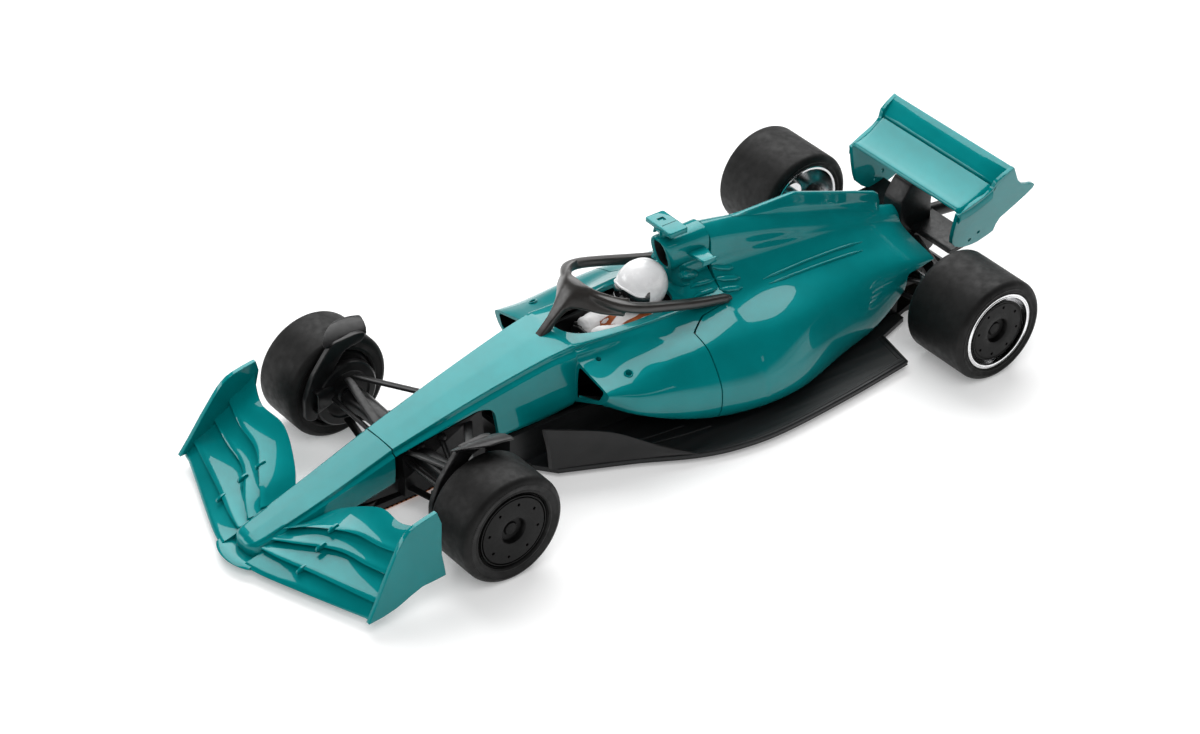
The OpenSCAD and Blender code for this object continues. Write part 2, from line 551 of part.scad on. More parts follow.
module front_bulkhead() {
    z0 = floor_z + 1.02;
    color(black) difference() {
        union() {
            bulkhead_core(0);
            translate([36.2 * kl, -5.6 * kw, z0]) cube([8 * kl, 11.2 * kw, 3]);
            // post of the guide
            hull() {
                translate([guide_x, 0, 3.7]) cylinder(h = 2.8, r = guide_pin_r + 1.5, $fn = 96);
                translate([52.6 * kl, -3.4, 3.7]) cube([0.6, 6.8, 2.8]);
            }
        }
        round_y(front_x, -10, 10, front_tyre_r, axle_r + 0.02);
        // boss of the body screw
        translate([36 * kl, 0, 0]) cylinder(h = floor_z + 4.05, r = 2.25, $fn = 96);
        translate([guide_x, 0, -1]) cylinder(h = 20, r = guide_pin_r + fit, $fn = 96);
    }
}

module front_axle() {
    color(steel) round_y(front_x, -front_over_w / 2 + 2.8, front_over_w / 2 - 2.8, front_tyre_r, axle_r);
}

// Front wishbones, links and axle fairing of the left side.
module front_arms() {
    z = front_tyre_r;
    yo = front_in - 3.35;
    difference() {
        union() {
            // upper wishbone
            bar([52.4 * kl, 3 * kw, 12 * kh], [front_x + 0.6, yo, z + 4.2], 0.65, 0.7);
            bar([39.5 * kl, 4.6 * kw, 14 * kh], [front_x - 0.8, yo, z + 4.2], 0.8, 0.6);
            // lower wishbone
            bar([52.6 * kl, 4.6 * kw, 5.2 * kh], [front_x + 0.6, yo, z - 4.6], 0.65, 0.7);
            bar([39 * kl, 5 * kw, 5.2 * kh], [front_x - 0.8, yo, z - 4.6], 0.65, 0.7);
            // push rod
            bar([45.4 * kl, 4.4 * kw, 13 * kh], [front_x - 0.4, yo, z - 3.6], 0.6, 1);
            // track rod
            bar([52.6 * kl, 3.6 * kw, 10.4 * kh], [front_x + 3.6, yo, z + 1], 0.5, 1);
            // axle fairing
            hull() {
                translate([front_x, 4.4 * kw, z]) scale([2.4, 1, 1.9]) sphere(1, $fn = 14);
                translate([front_x, 12, z + 0.5]) scale([2.1, 1, 1.9]) sphere(1, $fn = 14);
            }
            hull() {
                translate([front_x, 12, z + 0.5]) scale([2.1, 1, 1.9]) sphere(1, $fn = 14);
                translate([front_x, yo - 0.25, z]) scale([2.4, 1, 2.2]) sphere(1, $fn = 14);
            }
        }
        round_y(front_x, 0, 30, z, axle_r + 0.12);
        bulkhead_core(0.05);
        translate([30 * kl, -9.9, 0]) cube([30 * kl, 10, 40]);
    }
}

// Front upright, brake drum and over-tyre winglet of the left side.
module front_upright() {
    z = front_tyre_r;
    y0 = front_in - 2.5;
    difference() {
        union() {
            round_y(front_x, y0, y0 + 1.9, z, 6.6);
            // brake scoop
            hull() {
                translate([front_x + 4, y0, z - 0.6]) cube([1.4, 1.7, 4.4]);
                translate([front_x + 6.6, y0 - 1, z]) cube([0.6, 2.6, 3.4]);
            }
            // fairing that rises ahead of the axle
            translate([0, y0 + 1.5, 0]) rotate([90, 0, 0]) linear_extrude(1) polygon([
                for (p = [[9.2, 1.6], [8.4, 4.4], [5.2, 8.2], [3.2, 11.6], [1, 12.3], [-2.4, 12.4], [-3.4, 10.6],
                    [0.6, 9.6], [2.6, 6.4], [4.6, 3], [7, -3.4], [8.8, -2]]) [front_x + p[0], z + p[1]]]);
            // winglet over the tyre shoulder
            hull() {
                translate([front_x + 2.6, y0 + 1, z + 11.6]) cube([0.6, 0.5, 0.6]);
                translate([front_x - 5, y0 + 1, z + 11.3]) cube([0.6, 0.5, 0.6]);
                translate([front_x - 1, y0 + 4.4, z + 12.5]) cube([0.6, 0.5, 0.5]);
                translate([front_x - 5.6, y0 + 4.4, z + 11.8]) cube([0.6, 0.5, 0.5]);
            }
        }
        round_y(front_x, 0, 40, z, axle_r + 0.02);
    }
}

module motor() {
    color(steel) {
        intersection() {
            translate([-47 * kl, 0, 10.2]) rotate([0, 90, 0]) cylinder(h = 25, r = 7.6, $fn = 96);
            translate([-48 * kl, -10, 10.2 - 6]) cube([30, 20, 12]);
        }
        translate([-50.4 * kl, 0, 10.2]) rotate([0, 90, 0]) cylinder(h = 3.6 * kl, r = 1, $fn = 64);
    }
}

module motor_pod() {
    z = rear_tyre_r;
    yb = 10.2;
    color(black) difference() {
        union() {
            // cradle under the motor
            translate([-48.5 * kl, -6.2, floor_z + 1.02]) cube([28, 12.4, 10.2 - 6 - floor_z - 1.07]);
            translate([-60 * kl, -6.2, floor_z + 1.02]) cube([11.6 * kl, 12.4, 1]);
            // bearing blocks of the rear axle
            mirrored() {
                translate([rear_x - 3, yb - 2.2, z - 3]) cube([7.2, 2.2, 6]);
                translate([rear_x + 2.6, yb - 2.2, floor_z + 1.02]) cube([1.6, 2.2, z - floor_z - 1.02]);
                translate([rear_x + 2.6, 4, floor_z + 1.02]) cube([4.4, 6.2, 1.6]);
            }
        }
        round_y(rear_x, -20, 20, z, axle_r + fit);
    }
}

// Rear wishbones and drum of the left side.
module rear_arms() {
    z = rear_tyre_r;
    y1 = rear_in - 0.7;
    difference() {
        union() {
            round_y(rear_x, y1 - 1.6, y1, z, 6.2);
            bar([rear_x + 4.2, 10.9, z + 0.8], [rear_x + 1.6, y1 - 1.4, z + 2.4], 0.55, 0.7);
            bar([rear_x + 4.2, 10.9, z - 2], [rear_x + 1.6, y1 - 1.4, z - 3], 0.55, 0.7);
            bar([rear_x - 7.8, 2.9, z + 1.8], [rear_x - 1.6, y1 - 1.4, z + 2.4], 0.55, 0.7);
            bar([rear_x - 7.8, 2.9, z - 3], [rear_x - 1.6, y1 - 1.4, z - 4], 0.55, 0.7);
            bar([rear_x - 8.6, 2.9, z - 0.6], [rear_x - 4.2, y1 - 1.4, z - 0.4], 0.5, 1);
            bar([rear_x - 7.8, 2.9, z - 3], [rear_x - 8.6, 2.9, z - 0.6], 0.5, 1);
            bar([rear_x - 8.6, 2.9, z - 0.6], [rear_x - 7.8, 2.9, z + 1.8], 0.5, 1);
            bar([rear_x - 4.4, 9, z - 3.4], [rear_x + 0.4, y1 - 1.4, z + 3.4], 0.5, 1);
        }
        round_y(rear_x, 0, 40, z, axle_r + 0.35);
    }
}

// ---- wheels, each turned about its own axis lying on Z, outer face up ----

// Tyre section as [radius, height], inner face at 0.
module tyre(r, w, bead) {
    rotate_extrude($fn = 144) polygon([
        [bead, 0.5], [bead + 0.5, 0.15], [r - 1.9, 0], [r - 0.8, 0.35], [r - 0.2, 1.1], [r, 2.1],
        [r, w - 2.1], [r - 0.2, w - 1.1], [r - 0.8, w - 0.35], [r - 1.9, w], [bead + 0.5, w - 0.15], [bead, w - 0.5]]);
}

front_bead = 7.5;
rear_bead = 7.95;

module front_rim() {
    w = front_tyre_w;
    difference() {
        rotate_extrude($fn = 144) polygon([
            [0, 1.4], [front_bead - 0.9, 1.4], [front_bead - 0.9, 0.6], [front_bead, 0.6], [front_bead, w - 0.6],
            [front_bead - 0.4, w - 0.35], [front_bead - 0.5, w - 0.8], [front_bead - 0.75, w - 0.8], [front_bead - 0.8, w - 0.45],
            [2.6, w - 0.45], [2.3, w - 1.6], [0, w - 1.6]]);
        translate([0, 0, -1]) cylinder(h = w - 1.6, r = axle_r + fit, $fn = 96);
        for (i = [0 : 7]) rotate(i * 45 + 10) translate([5.3, 0, w - 1]) cylinder(h = 2, r = 0.3, $fn = 24);
    }
}

module rear_rim() {
    w = rear_tyre_w;
    difference() {
        rotate_extrude($fn = 144) polygon([
            [0, 4.4], [2.8, 4.4], [2.8, 6.8], [rear_bead - 0.7, 7.6], [rear_bead - 0.7, 0.5], [rear_bead, 0.5],
            [rear_bead, w - 0.6], [rear_bead - 0.1, w - 0.3], [rear_bead - 0.6, w - 0.3], [rear_bead - 0.7, w - 0.7],
            [rear_bead - 0.7, 8.8], [2.8, 9.6], [0, 9.6]]);
        translate([0, 0, -1]) cylinder(h = 40, r = axle_r, $fn = 96);
    }
}

module rear_cover() {
    w = rear_tyre_w;
    difference() {
        rotate_extrude($fn = 144) polygon([
            [0, 9.65], [2.2, 9.65], [2.2, w - 2], [6.3, w - 1.4], [6.3, w - 0.7], [2.6, w - 0.7], [2.3, w - 1.9], [0, w - 1.9]]);
        translate([0, 0, -1]) cylinder(h = w - 1.6, r = axle_r, $fn = 96);
        for (i = [0 : 7]) rotate(i * 45 + 10) translate([5, 0, w - 1.2]) cylinder(h = 2, r = 0.3, $fn = 24);
    }
}

// Puts a wheel piece on its axle: s is 1 for left, -1 for right.
module on_axle(x, y, r, s) {
    translate([x, s * y, r]) rotate([s > 0 ? -90 : 90, 0, 0]) children();
}

module rear_axle() {
    color(steel) round_y(rear_x, -rear_in - 11, rear_in + 11, rear_tyre_r, axle_r);
}

module crown_gear() {
    color("#c9c4b4") difference() {
        union() {
            round_y(rear_x, 1.6, 3.2, rear_tyre_r, 5.8);
            round_y(rear_x, 3, 6.4, rear_tyre_r, 2.6);
        }
        round_y(rear_x, 0, 9, rear_tyre_r, axle_r);
    }
}

// ---- guide ----

module guide_flag() {
    color(black) {
        translate([guide_x, 0, floor_z + 0.1]) cylinder(h = 5.2, r = guide_pin_r, $fn = 96);
        translate([guide_x, 0, floor_z + 0.1]) cylinder(h = 2, r = guide_pin_r + 1.6, $fn = 96);
        // carrier plate of the braids
        translate([guide_back + 2, -3.2, floor_z + 0.1]) cube([guide_blade - 2, 6.4, 1.2]);
        // blade
        translate([guide_back + 2, -0.7, 0.25]) cube([guide_blade - 2, 1.4, floor_z]);
    }
}

module guide_braids() {
    color("#a8602f") mirrored() translate([guide_back, 1.1, 0.35]) cube([guide_blade - 1.8, 1.9, floor_z - 0.27]);
}

nose_cone();
front_wing();
front_wing_endplates();
front_body();
airbox();
camera_pod();
engine_cover();
halo();
cockpit_tray();
driver_suit();
driver_helmet();
helmet_visor();
seat_belts();
driver_gloves();
steering_wheel();
chassis_pan();
floor_fences();
diffuser();
front_bulkhead();
front_axle();
color(black) front_arms();  // front_arms_left
color(black) mirror([0, 1, 0]) front_arms();  // front_arms_right
color(black) front_upright();  // front_upright_left
color(black) mirror([0, 1, 0]) front_upright();  // front_upright_right
motor();
motor_pod();
color(black) rear_arms();  // rear_arms_left
color(black) mirror([0, 1, 0]) rear_arms();  // rear_arms_right
rear_wing();
rear_wing_endplates();
rear_pylon();
color("#161616") on_axle(front_x, front_in, front_tyre_r, 1) tyre(front_tyre_r, front_tyre_w, front_bead);  // front_tyre_left
color("#222224") on_axle(front_x, front_in, front_tyre_r, 1) front_rim();  // front_rim_left
color("#161616") on_axle(front_x, front_in, front_tyre_r, -1) tyre(front_tyre_r, front_tyre_w, front_bead);  // front_tyre_right
color("#222224") on_axle(front_x, front_in, front_tyre_r, -1) front_rim();  // front_rim_right
rear_axle();
crown_gear();
color("#c4c7cb") for (s = [-1, 1]) on_axle(rear_x, rear_in, rear_tyre_r, s) rear_rim();  // rear_rims
color("#222224") for (s = [-1, 1]) on_axle(rear_x, rear_in, rear_tyre_r, s) rear_cover();  // rear_covers
color("#161616") on_axle(rear_x, rear_in, rear_tyre_r, 1) tyre(rear_tyre_r, rear_tyre_w, rear_bead);  // rear_tyre_left
color("#161616") on_axle(rear_x, rear_in, rear_tyre_r, -1) tyre(rear_tyre_r, rear_tyre_w, rear_bead);  // rear_tyre_right
guide_flag();
guide_braids();
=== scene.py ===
"""Looks of the one to thirty-two slot racing car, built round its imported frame.

Object's frame: X forward, Y left, Z up. Shapes are written in millimetres and scaled to metres.
"""

import math

import bmesh
import bpy
from mathutils import Matrix, Vector, noise


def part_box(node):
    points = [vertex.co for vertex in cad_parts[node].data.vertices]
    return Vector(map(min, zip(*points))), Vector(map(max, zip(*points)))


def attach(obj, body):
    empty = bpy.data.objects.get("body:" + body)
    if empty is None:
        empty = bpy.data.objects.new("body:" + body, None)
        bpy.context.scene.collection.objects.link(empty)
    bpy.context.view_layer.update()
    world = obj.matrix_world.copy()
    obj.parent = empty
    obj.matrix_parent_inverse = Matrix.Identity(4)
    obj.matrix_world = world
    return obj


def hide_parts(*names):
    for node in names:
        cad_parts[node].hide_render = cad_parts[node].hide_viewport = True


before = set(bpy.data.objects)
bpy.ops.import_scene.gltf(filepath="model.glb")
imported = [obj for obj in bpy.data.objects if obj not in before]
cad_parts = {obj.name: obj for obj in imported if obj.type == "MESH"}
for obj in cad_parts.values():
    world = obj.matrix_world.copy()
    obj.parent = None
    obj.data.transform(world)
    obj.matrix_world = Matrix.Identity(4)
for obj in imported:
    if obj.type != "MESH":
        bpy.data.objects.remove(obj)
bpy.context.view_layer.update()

MM = 0.001


def box_mm(node):
    lo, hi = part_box(node)
    return lo / MM, hi / MM


# ---- places and sizes that follow the frame, in millimetres ----

tyre_lo, tyre_hi = box_mm("front_tyre_left")
FRONT_X = (tyre_lo.x + tyre_hi.x) / 2
FRONT_R = (tyre_hi.z - tyre_lo.z) / 2
FRONT_IN = tyre_lo.y
FRONT_W = tyre_hi.y - tyre_lo.y
tyre_lo, tyre_hi = box_mm("rear_tyre_left")
REAR_X = (tyre_lo.x + tyre_hi.x) / 2
REAR_R = (tyre_hi.z - tyre_lo.z) / 2
REAR_IN = tyre_lo.y
REAR_W = tyre_hi.y - tyre_lo.y
# the tables below are drawn for these sizes
TABLE_WHEELBASE = 112
TABLE_WIDTH = 42.88
TABLE_HEIGHT = 35.3
TABLE_FLOOR = 54
ROAD_GAP = 0.9
# scale factors of the tables: length, width, height and the floor's width
KL = (FRONT_X - REAR_X) / TABLE_WHEELBASE
KW = (box_mm("front_body")[1].y - box_mm("front_body")[0].y) / TABLE_WIDTH
KH = (box_mm("camera_pod")[1].z - ROAD_GAP) / TABLE_HEIGHT
FLOOR_K = (box_mm("chassis_pan")[1].y - box_mm("chassis_pan")[0].y) / TABLE_FLOOR
WALL = 0.9
FLOOR_Z = box_mm("chassis_pan")[0].z
WING_HALF = box_mm("rear_wing_endplates")[1].y
AXLE_R = (box_mm("front_axle")[1].z - box_mm("front_axle")[0].z) / 2


# ---- mesh helpers ----

SIDES = ((1, "left"), (-1, "right"))


def add_object(name, data):
    obj = bpy.data.objects.new(name, data)
    bpy.context.scene.collection.objects.link(obj)
    return obj


def finish_mesh(name, verts, faces, slots, body="chassis", sharp=35, face_slots=None):
    """Object from millimetre vertices. slots names its materials; face_slots gives each face's."""
    mesh = bpy.data.meshes.new(name)
    mesh.from_pydata([Vector(v) * MM for v in verts], [], faces)
    obj = add_object(name, mesh)
    for s in slots:
        mesh.materials.append(MATERIALS[s])
    if face_slots:
        for polygon, index in zip(mesh.polygons, face_slots):
            polygon.material_index = index
    clean(obj, sharp)
    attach(obj, body)
    return obj


def clean(obj, sharp=35):
    bm = bmesh.new()
    bm.from_mesh(obj.data)
    bmesh.ops.remove_doubles(bm, verts=bm.verts, dist=0.0005 * MM)
    bmesh.ops.dissolve_degenerate(bm, edges=bm.edges, dist=0.0003 * MM)
    bmesh.ops.recalc_face_normals(bm, faces=bm.faces)
    bm.to_mesh(obj.data)
    bm.free()
    shade(obj, sharp)


def shade(obj, sharp):
    obj.data.shade_smooth()
    obj.data.set_sharp_from_angle(angle=math.radians(sharp))


def bake(obj, sharp=35):
    """Makes the modifiers part of the mesh."""
    graph = bpy.context.evaluated_depsgraph_get()
    mesh = bpy.data.meshes.new_from_object(obj.evaluated_get(graph), depsgraph=graph)
    old = obj.data
    obj.modifiers.clear()
    obj.data = mesh
    bpy.data.meshes.remove(old)
    shade(obj, sharp)
    return obj


def bevel(obj, width, segments=2, angle=40):
    m = obj.modifiers.new("bevel", "BEVEL")
    m.width = width * MM
    m.segments = segments
    m.limit_method = "ANGLE"
    m.angle_limit = math.radians(angle)
    return bake(obj)


def cut(obj, *cutters, sharp=35):
    """Takes the cutters out of obj, then drops them."""
    for c in cutters:
        m = obj.modifiers.new("cut", "BOOLEAN")
        m.operation = "DIFFERENCE"
        m.solver = "MANIFOLD"
        m.object = c
    bake(obj, sharp)
    for c in cutters:
        bpy.data.objects.remove(c)
    return obj


def grid_faces(rows, cols, wrap=False):
    """Quads over rows of cols points each, closed round each row if wrap."""
    faces = []
    for r in range(rows - 1):
        for c in range(cols if wrap else cols - 1):
            d = (c + 1) % cols
            a = r * cols
            b = a + cols
            faces.append((a + c, a + d, b + d, b + c))
    return faces


def slab_faces(n):
    """Two ends of n points each and the quads between them."""
    return [tuple(range(n)), tuple(range(2 * n - 1, n - 1, -1))] + grid_faces(2, n, wrap=True)


def sheet_faces(rows, cols):
    """Faces of a thick sheet: one side, the other side and the rim between them."""
    back = rows * cols
    faces = grid_faces(rows, cols)
    faces += [tuple(reversed([i + back for i in f])) for f in grid_faces(rows, cols)]
    rim = list(range(cols))
    rim += [j * cols + cols - 1 for j in range(1, rows)]
    rim += [(rows - 1) * cols + i for i in range(cols - 2, -1, -1)]
    rim += [j * cols for j in range(rows - 2, 0, -1)]
    for a, b in zip(rim, rim[1:] + rim[:1]):
        faces.append((a, a + back, b + back, b))
    return faces


def turned_faces(turns, n, closed):
    """Quads round an axis over a profile of n points, back to the first turn."""
    faces = []
    for i in range(turns):
        here = i * n
        beyond = (i + 1) % turns * n
        for c in range(n if closed else n - 1):
            d = (c + 1) % n
            faces.append((here + c, here + d, beyond + d, beyond + c))
    return faces


def oval(n, power=1.0):
    """n points of a unit circle, squared off where power is below 1."""
    out = []
    for k in range(n):
        t = 2 * math.pi * k / n
        c, s = math.cos(t), math.sin(t)
        out.append((math.copysign(abs(c) ** power, c), math.copysign(abs(s) ** power, s)))
    return out


def loft(name, rings, slots, body="chassis", sharp=35):
    """Closed skin over equal rings, with flat ends."""
    n = len(rings[0])
    faces = grid_faces(len(rings), n, wrap=True)
    last = (len(rings) - 1) * n
    faces.append(tuple(range(n - 1, -1, -1)))
    faces.append(tuple(last + i for i in range(n)))
    return finish_mesh(name, [p for r in rings for p in r], faces, slots, body, sharp)


def raw_solid(name, verts, faces):
    """Cutter in millimetres, not part of the object."""
    mesh = bpy.data.meshes.new(name)
    mesh.from_pydata([Vector(v) * MM for v in verts], [], faces)
    obj = add_object(name, mesh)
    clean(obj)
    for s in ("body_paint", "dark_plastic"):
        mesh.materials.append(MATERIALS[s])
    return obj


def prism(name, outline, a, b, axis="z"):
    """Cutter over a 2-D outline between two heights along an axis."""
    def spot(p, h):
        if axis == "z":
            return (p[0], p[1], h)
        if axis == "y":
            return (p[0], h, p[1])
        return (h, p[0], p[1])

    verts = [spot(p, h) for h in (a, b) for p in outline]
    return raw_solid(name, verts, slab_faces(len(outline)))


def rod(name, start, end, r, segments=32):
    """Round cutter between two points."""
    start = Vector(start)
    end = Vector(end)
    along = (end - start).normalized()
    side = along.orthogonal().normalized()
    up = along.cross(side)
    verts = []
    for p in (start, end):
        verts += [p + side * r * c + up * r * s for c, s in oval(segments)]
    return raw_solid(name, verts, slab_faces(segments))


def rounded(points, r, steps=6):
    """Outline with each corner rounded to radius r."""
    out = []
    n = len(points)
    for i in range(n):
        p = Vector(points[i])
        a = (Vector(points[i - 1]) - p)
        b = (Vector(points[(i + 1) % n]) - p)
        d = min(r, a.length * 0.45, b.length * 0.45)
        a = p + a.normalized() * d
        b = p + b.normalized() * d
        for k in range(steps + 1):
            t = k / steps
            out.append(tuple((1 - t) ** 2 * a + 2 * t * (1 - t) * p + t * t * b))
    return out


def spline(points, steps):
    """Catmull-Rom points through the given ones."""
    pts = [Vector(p) for p in points]
    out = []
    for i in range(len(pts) - 1):
        p0 = pts[i - 1] if i else pts[0] * 2 - pts[1]
        p3 = pts[i + 2] if i + 2 < len(pts) else pts[-1] * 2 - pts[-2]
        for k in range(steps):
            t = k / steps
            out.append(0.5 * (2 * pts[i] + (pts[i + 1] - p0) * t
                              + (2 * p0 - 5 * pts[i] + 4 * pts[i + 1] - p3) * t * t
                              + (3 * pts[i] - p0 - 3 * pts[i + 1] + p3) * t ** 3))
    out.append(pts[-1])
    return out


def smooth_step(a, b, x):
    t = min(1, max(0, (x - a) / (b - a)))
    return t * t * (3 - 2 * t)


def mirror_y(points):
    return [(p[0], -p[1], p[2]) for p in points]


def flip(ring, side):
    """The ring itself for the left side, mirrored for the right."""
    return ring if side > 0 else mirror_y(ring)


def place(p):
    """A point of the body tables in the object's own millimetres."""
    return Vector((p[0] * KL, p[1] * KW, p[2] * KH))


# ---- materials ----

def new_material(name):
    m = bpy.data.materials.new(name)
    m.use_nodes = True
    m.node_tree.nodes.clear()
    return m


class Nodes:
    """Short way to build a node tree."""

    def __init__(self, name):
        self.material = new_material(name)
        self.tree = self.material.node_tree
        self.out = self.add("ShaderNodeOutputMaterial")
        self.bsdf = self.add("ShaderNodeBsdfPrincipled")
        self.link(self.bsdf.outputs[0], self.out.inputs[0])
        self.coords = self.add("ShaderNodeTexCoord")

    def add(self, kind, **inputs):
        n = self.tree.nodes.new(kind)
        for k, v in inputs.items():
            n.inputs[k].default_value = v
        return n

    def link(self, a, b):
        self.tree.links.new(a, b)

    def noise(self, scale, detail=3, rough=0.5, stretch=None):
        n = self.add("ShaderNodeTexNoise", Scale=scale, Detail=detail, Roughness=rough)
        if stretch:
            m = self.add("ShaderNodeMapping")
            m.inputs["Scale"].default_value = stretch
            self.link(self.coords.outputs["Object"], m.inputs["Vector"])
            self.link(m.outputs[0], n.inputs["Vector"])
        else:
            self.link(self.coords.outputs["Object"], n.inputs["Vector"])
        return n.outputs["Fac"]

    def ramp(self, fac, low, high, a=0.35, b=0.65):
        r = self.add("ShaderNodeValToRGB")
        r.color_ramp.elements[0].position = a
        r.color_ramp.elements[1].position = b
        r.color_ramp.elements[0].color = (*low, 1)
        r.color_ramp.elements[1].color = (*high, 1)
        self.link(fac, r.inputs[0])
        return r.outputs[0]

    def spread(self, fac, low, high):
        m = self.add("ShaderNodeMapRange")
        m.inputs["From Min"].default_value = 0.3
        m.inputs["From Max"].default_value = 0.7
        m.inputs["To Min"].default_value = low
        m.inputs["To Max"].default_value = high
        self.link(fac, m.inputs["Value"])
        return m.outputs[0]

    def surface(self, color=None, rough=None, bump=None, strength=0.2, distance=0.05, edge=0.0, **fixed):
        if color is not None:
            self.link(color, self.bsdf.inputs["Base Color"])
        if rough is not None:
            self.link(rough, self.bsdf.inputs["Roughness"])
        normal = None
        if edge:
            e = self.add("ShaderNodeBevel")
            e.samples = 4
            e.inputs["Radius"].default_value = edge * MM
            normal = e.outputs[0]
        if bump is not None:
            b = self.add("ShaderNodeBump")
            b.inputs["Strength"].default_value = strength
            b.inputs["Distance"].default_value = distance * MM
            self.link(bump, b.inputs["Height"])
            if normal:
                self.link(normal, b.inputs["Normal"])
            normal = b.outputs[0]
        if normal:
            self.link(normal, self.bsdf.inputs["Normal"])
        for k, v in fixed.items():
            self.bsdf.inputs[k.replace("_", " ")].default_value = v
        return self.material


def body_paint():
    n = Nodes("body_paint")
    tint = n.ramp(n.noise(160, 2), (0.0, 0.186, 0.193), (0.0, 0.206, 0.214))
    rough = n.spread(n.noise(900, 3), 0.36, 0.46)
    return n.surface(tint, rough, n.noise(700, 2), 0.03, 0.05, edge=0.14, Metallic=0.3,
                     Specular_IOR_Level=0.02, Coat_Weight=1.0, Coat_Roughness=0.02, Coat_IOR=1.37)


def satin_black():
    n = Nodes("satin_black")
    tint = n.ramp(n.noise(420, 4), (0.016, 0.0142, 0.0128), (0.024, 0.0215, 0.0195))
    rough = n.spread(n.noise(1500, 4), 0.3, 0.38)
    return n.surface(tint, rough, n.noise(2600, 3), 0.03, 0.02, Specular_IOR_Level=0.7)


def dark_plastic():
    n = Nodes("dark_plastic")
    tint = n.ramp(n.noise(300, 4), (0.004, 0.004, 0.0042), (0.008, 0.008, 0.0083))
    rough = n.spread(n.noise(1200, 4), 0.28, 0.42)
    return n.surface(tint, rough, n.noise(2400, 3), 0.16, 0.03, edge=0.1, Specular_IOR_Level=0.3)


def floor_black():
    n = Nodes("floor_black")
    streaks = n.noise(60, 5, 0.6, stretch=(1, 18, 18))
    tint = n.ramp(streaks, (0.007, 0.008, 0.0085), (0.014, 0.0145, 0.015))
    return n.surface(tint, n.spread(streaks, 0.3, 0.5), streaks, 0.22, 0.06, edge=0.12,
                     Specular_IOR_Level=0.35)


# Near-black matte lining for the shell and the intake throat: dark plastic, darkened further as painted
# shade so the openings read black.
def dark_lining_and_shade():
    n = Nodes("dark_lining_and_shade")
    tint = n.ramp(n.noise(300, 3), (0.003, 0.003, 0.003), (0.006, 0.006, 0.006))
    return n.surface(tint, n.spread(n.noise(900, 3), 0.7, 0.9), n.noise(1500, 3), 0.1, 0.03)


def suit_white():
    n = Nodes("suit_white")
    tint = n.ramp(n.noise(500, 4), (0.76, 0.755, 0.76), (0.86, 0.855, 0.85))
    return n.surface(tint, n.spread(n.noise(2000, 3), 0.5, 0.75), n.noise(900, 5), 0.35, 0.08)


def helmet_white():
    n = Nodes("helmet_white")
    tint = n.ramp(n.noise(260, 3), (0.76, 0.76, 0.77), (0.84, 0.84, 0.845))
    return n.surface(tint, n.spread(n.noise(900, 3), 0.2, 0.3), n.noise(900, 2), 0.03, 0.03, edge=0.08,
                     Coat_Weight=0.5, Coat_Roughness=0.08)


def visor_black():
    n = Nodes("visor_black")
    tint = n.ramp(n.noise(300, 2), (0.006, 0.006, 0.007), (0.012, 0.012, 0.013))
    return n.surface(tint, n.spread(n.noise(900, 2), 0.1, 0.2), n.noise(700, 2), 0.03, 0.03, Coat_Weight=0.6)


def belt_tan():
    n = Nodes("belt_tan")
    tint = n.ramp(n.noise(900, 4), (0.28, 0.062, 0.014), (0.46, 0.125, 0.03))
    return n.surface(tint, n.spread(n.noise(2400, 3), 0.45, 0.65), n.noise(3000, 2), 0.3, 0.05)


def metal(name, low, high, r0, r1, stretch):
    n = Nodes(name)
    grain = n.noise(900, 4, 0.6, stretch=stretch)
    n.bsdf.inputs["Metallic"].default_value = 1.0
    return n.surface(n.ramp(grain, low, high), n.spread(grain, r0, r1), grain, 0.06, 0.03, edge=0.06)


def gear_nylon():
    n = Nodes("gear_nylon")
    tint = n.ramp(n.noise(500, 3), (0.5, 0.46, 0.36), (0.6, 0.56, 0.45))
    return n.surface(tint, n.spread(n.noise(900, 3), 0.4, 0.55), n.noise(1500, 3), 0.1, 0.03,
                     Subsurface_Weight=0.1, Subsurface_Scale=0.002)


def wheel_black():
    n = Nodes("wheel_black")
    tint = n.ramp(n.noise(600, 4), (0.002, 0.002, 0.002), (0.004, 0.004, 0.004))
    return n.surface(tint, n.spread(n.noise(1800, 3), 0.36, 0.5), n.noise(2600, 3), 0.12, 0.03, edge=0.08,
                     Specular_IOR_Level=0.14)


def tyre_rubber():
    n = Nodes("tyre_rubber")
    tint = n.ramp(n.noise(380, 5, 0.6), (0.003, 0.003, 0.003), (0.007, 0.0068, 0.0067))
    rough = n.spread(n.noise(700, 4), 0.5, 0.68)
    return n.surface(tint, rough, n.noise(2600, 4, 0.6), 0.2, 0.05, Specular_IOR_Level=0.28)


def copper_braid():
    """Flattened braid: two crossing sets of strands raised by waves, with painted shade in the valleys
    between them.
    """
    n = Nodes("copper_braid")
    n.bsdf.inputs["Metallic"].default_value = 1.0
    waves = []
    for turn in (0.75, -0.75):
        m = n.add("ShaderNodeMapping")
        m.inputs["Rotation"].default_value = (0, 0, turn)
        n.link(n.coords.outputs["Object"], m.inputs["Vector"])
        w = n.add("ShaderNodeTexWave", Scale=420.0, Distortion=0.8, Detail=1.0)
        n.link(m.outputs[0], w.inputs["Vector"])
        waves.append(w.outputs["Fac"])
    both = n.add("ShaderNodeMath")
    both.operation = "MAXIMUM"
    n.link(waves[0], both.inputs[0])
    n.link(waves[1], both.inputs[1])
    # darker copper in the low valleys is painted shade; the crowns keep the copper's own colour
    tint = n.ramp(both.outputs[0], (0.16, 0.045, 0.018), (0.7, 0.3, 0.15), 0.2, 0.9)
    return n.surface(tint, n.spread(both.outputs[0], 0.5, 0.28), both.outputs[0], 0.9, 0.15)


